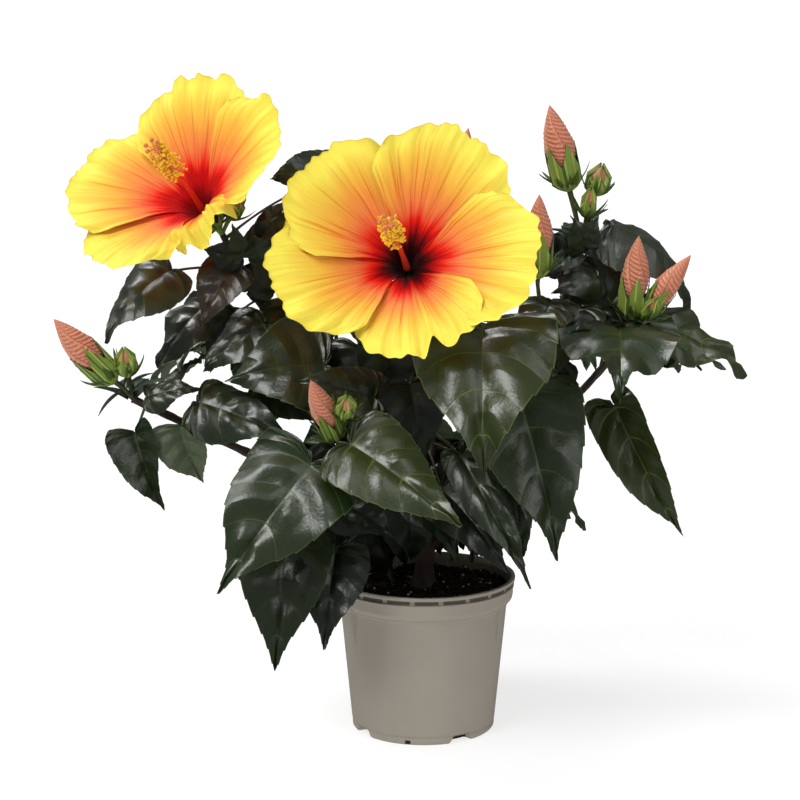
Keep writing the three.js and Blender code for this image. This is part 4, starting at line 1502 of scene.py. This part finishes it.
def petal_skin(name, red_reach, throat):
    """Maroon at the throat through red and salmon to yellow at the rim, with fine streaks along it."""
    material, tree, shader = new_material(name)
    uv = tree.nodes.new("ShaderNodeUVMap")
    uv.uv_map = "petal"
    place = uv.outputs["UV"]
    parts = tree.nodes.new("ShaderNodeSeparateXYZ")
    link(tree, place, parts.inputs["Vector"])
    outward = parts.outputs["Y"]
    streaks = noise(tree, 1.0, detail=3, vector=stretched(tree, place, (34, 1.3, 1)), distortion=0.3)
    clouds = noise(tree, 1.0, detail=2, vector=stretched(tree, place, (3.5, 2.0, 1)))
    shifted = calculate(tree, "ADD", outward, to_range(tree, streaks, -0.05, 0.05))
    shifted = calculate(tree, "ADD", shifted, to_range(tree, clouds, -0.07, 0.07))
    stops = [
        (0.09, (throat**2, 0.0, 0.001)),
        (0.155, (throat, 0.0, 0.001)),
        (0.22, (0.560, 0.0, 0.001)),
        (0.28, (0.860, 0.018, 0.004)),
        (0.345, (0.880, 0.120, 0.042)),
        (0.43, (0.900, 0.245, 0.060)),
        (0.53, (0.905, 0.325, 0.052)),
        (0.63, (0.915, 0.440, 0.055)),
        (0.75, (0.925, 0.590, 0.066)),
        (0.93, (0.935, 0.780, 0.092)),
    ]
    base = ramp(tree, shifted, [(start * red_reach, color) for start, color in stops])
    # Darker veins over the middle of the petal.
    lines = noise(tree, 1.0, detail=1, vector=stretched(tree, place, (60, 1.0, 1)))
    lines = to_range(tree, lines, 0, 1, 0.58, 0.68)
    window = to_range(tree, outward, 1, 0.15, 0.6, 0.98)
    amount = calculate(tree, "MULTIPLY", calculate(tree, "MULTIPLY", lines, window), 0.75)
    darker = tree.nodes.new("ShaderNodeMix")
    darker.data_type = "RGBA"
    darker.blend_type = "MULTIPLY"
    link(tree, amount, darker.inputs["Factor"])
    link(tree, base, darker.inputs[6])
    darker.inputs[7].default_value = (0.80, 0.36, 0.20, 1)
    link(tree, darker.outputs[2], shader.inputs["Base Color"])
    link(tree, to_range(tree, clouds, 0.45, 0.62), shader.inputs["Roughness"])
    set_inputs(shader, {"Sheen Weight": 0.04, "Sheen Roughness": 0.4, "Specular IOR Level": 0.15})
    bump(tree, shader, streaks, 0.0014, 0.8)
    return material


GOLD, STIGMA, STYLE, COLUMN_RED, COLUMN_PALE, POLLEN = range(6)


def add_ball(batch, centre, axis, radius, length, mark, random):
    """A small rounded lump, a little uneven."""
    sides, rings = 8, 5
    share = np.linspace(-0.96, 0.96, rings)
    turn = np.arange(sides) * 2 * math.pi / sides
    girth = radius * np.sqrt(1 - share**2)[:, None] * random.uniform(0.85, 1.15, (rings, sides))
    points = centre + (share * length)[:, None, None] * axis
    points = points + ring_offset(girth, turn, *side_and_up(axis))
    batch.add_turned(points, np.array([centre - axis * length, centre + axis * length]), mark)


COLUMN_STEPS, RED_END, PALE_START = 40, 22, 30
THREADS = 170
GOLDEN_TURN = 2.39996


def add_column(batch, bloom, lean, random):
    """The staminal column: a tube with anthers on short threads, and five stigma pads at its end."""
    base = bloom.foot + bloom.axis * (bloom.throat - 6 * MM)
    end = bloom.foot + bloom.axis * (bloom.column - 14 * MM) + lean
    path = bow(base, end, UP * 2.5 * MM, COLUMN_STEPS)
    share = np.linspace(0, 1, COLUMN_STEPS)
    radii = np.interp(share, [0, 0.2, 0.6, 1.0], [2.4, 1.7, 1.4, 1.1]) * MM
    parts = ((0, RED_END, COLUMN_RED), (RED_END - 1, PALE_START, STYLE), (PALE_START - 1, None, COLUMN_PALE))
    for first, after, mark in parts:
        batch.add_tube(path[first:after], radii[first:after], 12, mark)
    headings, across, up = frames_along(path)
    for i in range(THREADS):
        place = int(random.integers(RED_END, COLUMN_STEPS - 1))
        out = ring_offset(1.0, i * GOLDEN_TURN, across[place], up[place])
        out = unit(out + headings[place] * random.uniform(-0.1, 0.7))
        start = path[place] + out * radii[place] * 0.8
        tip = start + out * random.uniform(3.4, 6.4) * MM
        batch.add_tube(bow(start, tip, headings[place] * 0.5 * MM, 4), np.full(4, 0.22 * MM), 4, STYLE)
        for _ in range(2):
            spot = tip + random.normal(size=3) * 0.45 * MM
            tint = GOLD if random.random() < 0.75 else POLLEN
            add_ball(batch, spot, unit(random.normal(size=3)), 0.75 * MM, 1.05 * MM, tint, random)
    for i in range(5):
        out = ring_offset(1.0, math.radians(72 * i + 20), across[-1], up[-1])
        tip = path[-1] + headings[-1] * 5.5 * MM + out * 4.2 * MM
        batch.add_bow(path[-1], tip, -out * 0.8 * MM, 0.6, 0.45, 7, 6, STYLE)
        add_ball(batch, tip, headings[-1], 1.5 * MM, 1.1 * MM, STIGMA, random)


CALYX, CALYX_RIB, BRACT, CALYX_SHADE, BUD_LEAF = range(5)


def add_calyx(batch, foot, axis, length, radius, opening, turn=0.0):
    """A cup with five pointed lobes and raised ribs, closed over its inside."""
    rows, columns = 21, 60
    side, up = side_and_up(axis)
    v = np.linspace(0, 1, rows)[:, None]
    angle = np.linspace(0, 2 * math.pi, columns, endpoint=False)[None, :]
    from_lobe = 1 - np.abs(2 * ((angle + turn) * 5 / (2 * math.pi) % 1) - 1)
    reach = length * (1 - 0.52 * from_lobe**0.85)
    profile = np.interp(v, [0, 0.12, 0.35, 0.65, 1], [0.26, 0.62, 0.98, 1.0, opening])
    rib = 0.035 * np.cos(10 * (angle + turn)) * np.sin(math.pi * v) + 0.014 * np.cos(30 * (angle + turn))
    girth = radius * (profile + rib)
    height = reach * v + 0 * angle

    def wall(shrink):
        return foot + height[..., None] * axis + ring_offset(girth - shrink, angle, side, up)

    outer, inner = wall(0), wall(0.5 * MM)
    points = np.concatenate([outer.reshape(-1, 3), inner.reshape(-1, 3)])
    quads = grid_faces(rows, columns, closed=True)
    here, beside = round_a_ring(columns)
    last, count = (rows - 1) * columns, rows * columns
    brim = np.stack([last + here, last + beside, last + beside + count, last + here + count], -1)
    base = np.stack([here + count, beside + count, beside, here], -1)
    ribs = (np.arange(columns) % 6 == 0)[None, :] & (np.arange(rows - 1) > 1)[:, None]
    # calyx_shade marks the valleys between the lobes, thin lines along them and the cup's inside: painted
    # shade in the gaps and the hollow, partly the calyx's own darker green.
    valley = ((from_lobe > 0.86) | (np.cos(15 * (angle + turn)) < -0.93)) & (v[:-1] > 0.12)
    skin = np.where(ribs, CALYX_RIB, np.where(valley, CALYX_SHADE, CALYX))
    marks = np.concatenate([skin.ravel(), np.full(len(quads) + 2 * columns, CALYX_SHADE)])
    batch.add(points, np.concatenate([quads, quads[:, ::-1] + count, brim, base]), mark=marks)


def add_bracts(batch, foot, axis, count, length, spread, random):
    """The ring of narrow leaflets under a calyx."""
    for i in range(count):
        out = ring_offset(1.0, 2 * math.pi * i / count + random.uniform(-0.2, 0.2), *side_and_up(axis))
        heading = unit(axis * (1 - spread) + out * (0.35 + spread))
        size = length * random.uniform(0.8, 1.15)
        knee, normal = foot + out * 1.5 * MM, unit(out - 0.5 * axis)
        blade = Blade(knee, heading, normal, size, size * 0.2, random.uniform(0.3, 0.9))
        add_strap(batch, blade, random, BRACT)


def add_strap(batch, blade, random, mark):
    """A narrow pointed leaflet, keeled along its middle."""
    rows = 10
    v = np.linspace(0, 1, rows)
    half = blade.width / 2 * np.sin(math.pi * mix(0.14, 0.985, v)) ** 0.7
    x = np.stack([-half, 0 * half, half, 0 * half], -1)
    z = np.stack([0 * half, -0.25 * half - 0.25 * MM, 0 * half, -0.25 * half + 0.1 * MM], -1)
    y = np.repeat((v * blade.length)[:, None], 4, axis=1)
    points = blade.place(x, y, z, twist=random.uniform(-0.5, 0.5)).reshape(-1, 3)
    ends = np.array([[3, 2, 1, 0], np.arange(4) + 4 * (rows - 1)])
    batch.add(points, np.concatenate([grid_faces(rows, 4, closed=True), ends]), mark=mark)


# Each bloom's petals, the lean of its column in mm, how far its red reaches and how red its throat is.
BLOOMS = {
    "bloom_front": (FRONT_PETALS, -7, 0.96, 0.15),
    "bloom_left": (LEFT_PETALS, 3, 0.99, 0.60),
}


def build_blooms():
    calyxes, stamens, furled = Batch(), Batch(), Batch()
    for node, (petals, lean, red_reach, throat) in BLOOMS.items():
        random = dice(node)
        bloom = Bloom(node)
        across = unit(np.cross(UP, bloom.axis))
        up = np.cross(bloom.axis, across)
        batch = Batch()
        for index, petal in enumerate(petals):
            add_petal(batch, bloom, across, up, petal, index, PETAL_SEED + index)
        skin = petal_skin(f"petal_{node}", red_reach, throat)
        name = node.replace("bloom", "petals")
        batch.piece(name, "petal", [skin], [node], maps=("petal", "OFBake"))
        add_column(stamens, bloom, across * lean * MM, random)
        cup = bloom.foot + bloom.axis * (bloom.throat - 22 * MM)
        start = bloom.foot - bloom.axis * 2 * MM
        calyxes.add_bow(start, cup + bloom.axis * MM, UP * 0.5 * MM, 1.9, 2.6, 8, 9, CALYX)
        add_calyx(calyxes, cup, bloom.axis, 20 * MM, 9.2 * MM, 1.15)
        add_bracts(calyxes, cup + bloom.axis * MM, bloom.axis, 9, 17 * MM, 0.45, random)
        if node == "bloom_left":
            side_bud = Head(bloom.foot, bloom.foot + np.array([13, -12, 26]) * MM, 7.5 * MM)
            add_green_bud(furled, calyxes, calyxes, side_bud, random)
    stamens.piece("stamens", "petal", [
        plain("anther_gold", (0.95, 0.60, 0.03), (0.6, 0.8), 900, 0.0004),
        plain("stigma_pad", (0.62, 0.19, 0.05), (0.6, 0.8), 1500, 0.0004),
        plain("stamen_thread", (0.88, 0.34, 0.10), (0.45, 0.6), 500, 0.0002),
        plain("column_red", (0.70, 0.05, 0.02), (0.4, 0.5), 500, 0.0002),
        plain("column_pale", (0.90, 0.42, 0.16), (0.45, 0.6), 500, 0.0002),
        plain("anther_shade", (0.90, 0.50, 0.02), (0.6, 0.8), 900, 0.0004),
    ], [])
    return calyxes, furled


# ---------------------------------------------------------------- buds

BUD_SALMON, BUD_PALE_LIT, BUD_DEEP_SHADED = range(3)


def add_twisted_bud(batch, foot, axis, length, radius, random):
    """The furled petals of a bud: five wraps that wind round it, finely crimped across."""
    rows, columns = 54, 70
    side, up = side_and_up(axis)
    v = np.linspace(0, 1, rows)[:, None]
    angle = np.linspace(0, 2 * math.pi, columns, endpoint=False)[None, :]
    wound = angle + 1.5 * v + random.uniform(0, 6)
    wrap = (wound * 5 / (2 * math.pi)) % 1.0
    profile = np.interp(v, [0, 0.15, 0.35, 0.6, 0.8, 0.93, 1], [0.7, 0.92, 1.0, 0.78, 0.46, 0.2, 0.03])
    step = 0.16 * (wrap - 0.5) * np.sin(math.pi * np.clip(v * 0.9 + 0.12, 0, 1))
    crossing = np.sin(88 * v + 8 * wrap + 2 * np.sin(7 * v) + 1.5 * np.sin(3 * wrap))
    crimp = 0.028 * crossing * (0.4 + np.sin(math.pi * wrap))
    crimp = crimp + 0.014 * np.sin(150 * v - 6 * angle)
    girth = radius * (profile * (1 + step + crimp))
    bend = side * random.uniform(-1, 1) * 0.05 * length
    height = length * v + 0 * angle
    points = foot + height[..., None] * axis + (v**2)[..., None] * bend
    points = points + ring_offset(girth, angle, side, up)
    tip = foot + axis * (length + 0.4 * MM) + bend
    place = wrap[:-1] + 0 * v[:-1]
    # Paler on the crimps' crests and along each wrap's outer edge, deeper in the crimps' hollows and where
    # each wrap is tucked under the next: partly the bud's own streaks, partly painted light and shade that
    # follow the relief.
    marks = np.where(crossing[:-1] < -0.55, BUD_DEEP_SHADED, np.where(crossing[:-1] > 0.7, BUD_PALE_LIT, BUD_SALMON))
    marks = np.where(place > 0.9, BUD_PALE_LIT, np.where(place < 0.1, BUD_DEEP_SHADED, marks)).ravel()
    marks = np.concatenate([marks, np.full(2 * columns, BUD_SALMON)])
    batch.add_turned(points, np.array([foot, tip]), marks)


def add_open_bud(furled, calyxes, stalks, head, random):
    """A bud that shows colour: stalk, bracts, calyx and furled petals."""
    petals_length = min(36 * MM, 0.6 * head.reach)
    calyx_length = min(32 * MM, 0.54 * head.reach)
    petal_foot = head.tip - head.axis * petals_length
    cup = petal_foot - head.axis * (calyx_length - 12 * MM)
    stalks.add_bow(head.foot, cup + head.axis * MM, UP * MM, 1.3, 1.9, 10, 8)
    add_calyx(calyxes, cup, head.axis, calyx_length, head.radius * 0.84, 1.04, random.uniform(0, 6))
    add_bracts(calyxes, cup + head.axis * MM, head.axis, 9, 19 * MM, 0.34, random)
    base = petal_foot - head.axis * 4 * MM
    add_twisted_bud(furled, base, head.axis, petals_length + 3.6 * MM, head.radius * 0.80, random)


def add_green_bud(furled, calyxes, stalks, head, random):
    """A bud still closed in its calyx."""
    length = min(22 * MM, 0.6 * head.reach)
    cup = head.tip - head.axis * length
    stalks.add_bow(head.foot, cup + head.axis * MM, UP * MM, 1.2, 1.7, 10, 8)
    add_calyx(calyxes, cup, head.axis, length, head.radius * 0.82, 0.14, random.uniform(0, 6))
    add_bracts(calyxes, cup, head.axis, 9, 15 * MM, 0.3, random)
    base = cup + head.axis * 0.4 * length
    add_twisted_bud(furled, base, head.axis, 0.46 * length, head.radius * 0.5, random)


LEAST_OPEN_RADIUS = 9.3 * MM
LEAST_OPEN_REACH = 54.5 * MM
LEAST_HEAD_RADIUS = 6.0 * MM
# Small green buds in front of a group's second bud: how far along that bud each one's tip is, and
# its shift from there in mm.
SIDE_BUDS = {
    "buds_top_right": (0.78, (-5, -12, -2)),
    "buds_right": (0.5, (-2, -12, 1)),
}
SIDE_BUD_RADIUS = 6.2 * MM


def build_buds(calyxes, furled):
    stalks = Batch()
    nodes = nodes_named("buds_") + nodes_named("bud_")
    for node in nodes:
        random = dice(node)
        if node.startswith("bud_"):
            foot, head = head_on_stalk(node)
            _, start, _ = bough_near(foot)
            stalks.add_bow(start, head.foot, UP * MM, 1.6, 1.3, 14, 8)
            add_open_bud(furled, calyxes, stalks, head, random)
            continue
        for head in heads_on_bough_end(node):
            if head.radius < LEAST_HEAD_RADIUS:
                continue
            is_open = head.radius > LEAST_OPEN_RADIUS and head.reach > LEAST_OPEN_REACH
            add = add_open_bud if is_open else add_green_bud
            add(furled, calyxes, stalks, head, random)
            add_bud_leaves(calyxes, head, random)
        if node in SIDE_BUDS:
            share, shift = SIDE_BUDS[node]
            neighbour = heads_on_bough_end(node)[1]
            tip = mix(neighbour.foot, neighbour.tip, share) + np.array(shift) * MM
            add_green_bud(furled, calyxes, stalks, Head(neighbour.foot, tip, SIDE_BUD_RADIUS), random)
    furled.piece("bud_petals", "bud", [
        plain("bud_salmon", (0.58, 0.190, 0.100), (0.5, 0.65), 700, 0.0005, sheen=0.3),
        # Partly the bud's own colour, partly painted light on crests and painted shade in hollows.
        plain("bud_pale_lit", (0.68, 0.275, 0.155), (0.5, 0.65), 700, 0.0005, sheen=0.3),
        plain("bud_deep_shaded", (0.47, 0.130, 0.070), (0.5, 0.65), 700, 0.0005, sheen=0.3),
    ], nodes)
    calyxes.piece("calyxes", "bud", [
        plain("calyx_green", (0.175, 0.260, 0.022), (0.4, 0.55), 500, 0.0005, sheen=0.2),
        plain("calyx_rib", (0.340, 0.430, 0.075), (0.4, 0.55), 500, 0.0004),
        plain("bract_green", (0.070, 0.125, 0.014), (0.4, 0.55), 500, 0.0004),
        # Painted shade in the valleys and inside the cup, partly the calyx's own darker green.
        plain("calyx_shade", (0.055, 0.100, 0.012), (0.45, 0.6), 500, 0.0004),
        plain("bud_leaf", (0.030, 0.055, 0.020), (0.3, 0.45), 400, 0.0005, coat=0.2),
    ], [])
    stalks.piece("bud_stalks", "bud", [
        plain("bud_stalk", (0.070, 0.085, 0.025), (0.45, 0.6), 500, 0.0003),
    ], [])


def add_bud_leaves(batch, head, random):
    """Four small leaves in the axils under a bud."""
    for _ in range(4):
        out = square_to(random.normal(size=3), head.axis)
        chord = unit(out + head.axis * random.uniform(-0.2, 0.6))
        size = random.uniform(14, 24) * MM
        foot = mix(head.foot, head.tip, random.uniform(0.0, 0.16))
        blade = Blade(foot + out * 2 * MM, chord, unit(head.axis + 0.3 * out), size, size * 0.5, 0.8)
        add_strap(batch, blade, random, BUD_LEAF)


# ---------------------------------------------------------------- camera, light and floor


def build_camera():
    data = bpy.data.cameras.new("camera")
    data.lens, data.sensor_width = 102.9, 36
    camera = add_object("camera", data)
    camera.location = (-0.0115, -1.45, 0.495)
    camera.rotation_euler = (math.pi / 2 - 0.189, 0, 0.0027)
    bpy.context.scene.camera = camera


def add_sun(name, bearing, rise, strength, angle):
    """A wide soft light: bearing is its compass place round the plant, rise its height, in degrees."""
    data = bpy.data.lights.new(name, "SUN")
    data.energy = strength
    data.angle = math.radians(angle)
    light = add_object(name, data)
    light.rotation_euler = (math.radians(90 - rise), 0, math.radians(bearing + 90))
    light.location = (0, 0, 2)


def build_light():
    add_sun("key", 226, 50, 2.1, 34)
    add_sun("fill", 318, 36, 0.5, 40)
    add_sun("top", 140, 58, 1.8, 26)
    world = bpy.data.worlds.new("studio")
    world.use_nodes = True
    background = world.node_tree.nodes["Background"]
    background.inputs["Color"].default_value = (1, 1, 1, 1)
    background.inputs["Strength"].default_value = 0.14
    bpy.context.scene.world = world
    bpy.context.scene.view_settings.view_transform = "Standard"


def add_sheet(name, points, faces, material, hidden_from):
    """Flat faces that belong to the picture's surroundings. Some kinds of ray don't see them."""
    mesh = bpy.data.meshes.new(name)
    mesh.from_pydata(points, [], faces)
    mesh.materials.append(material)
    sheet = add_object(name, mesh)
    for ray in hidden_from:
        setattr(sheet, f"visible_{ray}", False)


def square(half, height):
    return [(x * half, y * half, height) for x, y in ((-1, -1), (1, -1), (1, 1), (-1, 1))]


def build_floor():
    material, tree, shader = new_material("floor_paper")
    color = ramp(tree, noise(tree, 3), [(0.3, (0.31, 0.31, 0.31)), (0.7, (0.33, 0.33, 0.33))])
    link(tree, color, shader.inputs["Base Color"])
    set_inputs(shader, {
        "Emission Color": (1, 1, 1, 1),
        "Emission Strength": 0.74,
        "Roughness": 0.9,
        "Specular IOR Level": 0.1,
    })
    add_sheet("floor", square(30, 0), [(0, 1, 2, 3)], material, ["glossy"])


def build_backdrop():
    """White walls far round the floor, seen by the camera only: they neither light nor shade the plant."""
    material, tree, shader = new_material("backdrop_paper")
    link(tree, to_range(tree, noise(tree, 3), 0.85, 0.95), shader.inputs["Roughness"])
    set_inputs(shader, {
        "Base Color": (0, 0, 0, 1),
        "Emission Color": (1, 1, 1, 1),
        "Emission Strength": 1.0,
    })
    walls = [(i, (i + 1) % 4, (i + 1) % 4 + 4, i + 4) for i in range(4)]
    hidden_from = ["diffuse", "glossy", "transmission", "shadow"]
    points = square(29, 0) + square(29, 40)
    add_sheet("backdrop", points, [*walls, (4, 5, 6, 7)], material, hidden_from)


build_camera()
build_light()
build_floor()
build_backdrop()
build_pot()
build_soil()
build_bark()
build_leaves()
build_buds(*build_blooms())
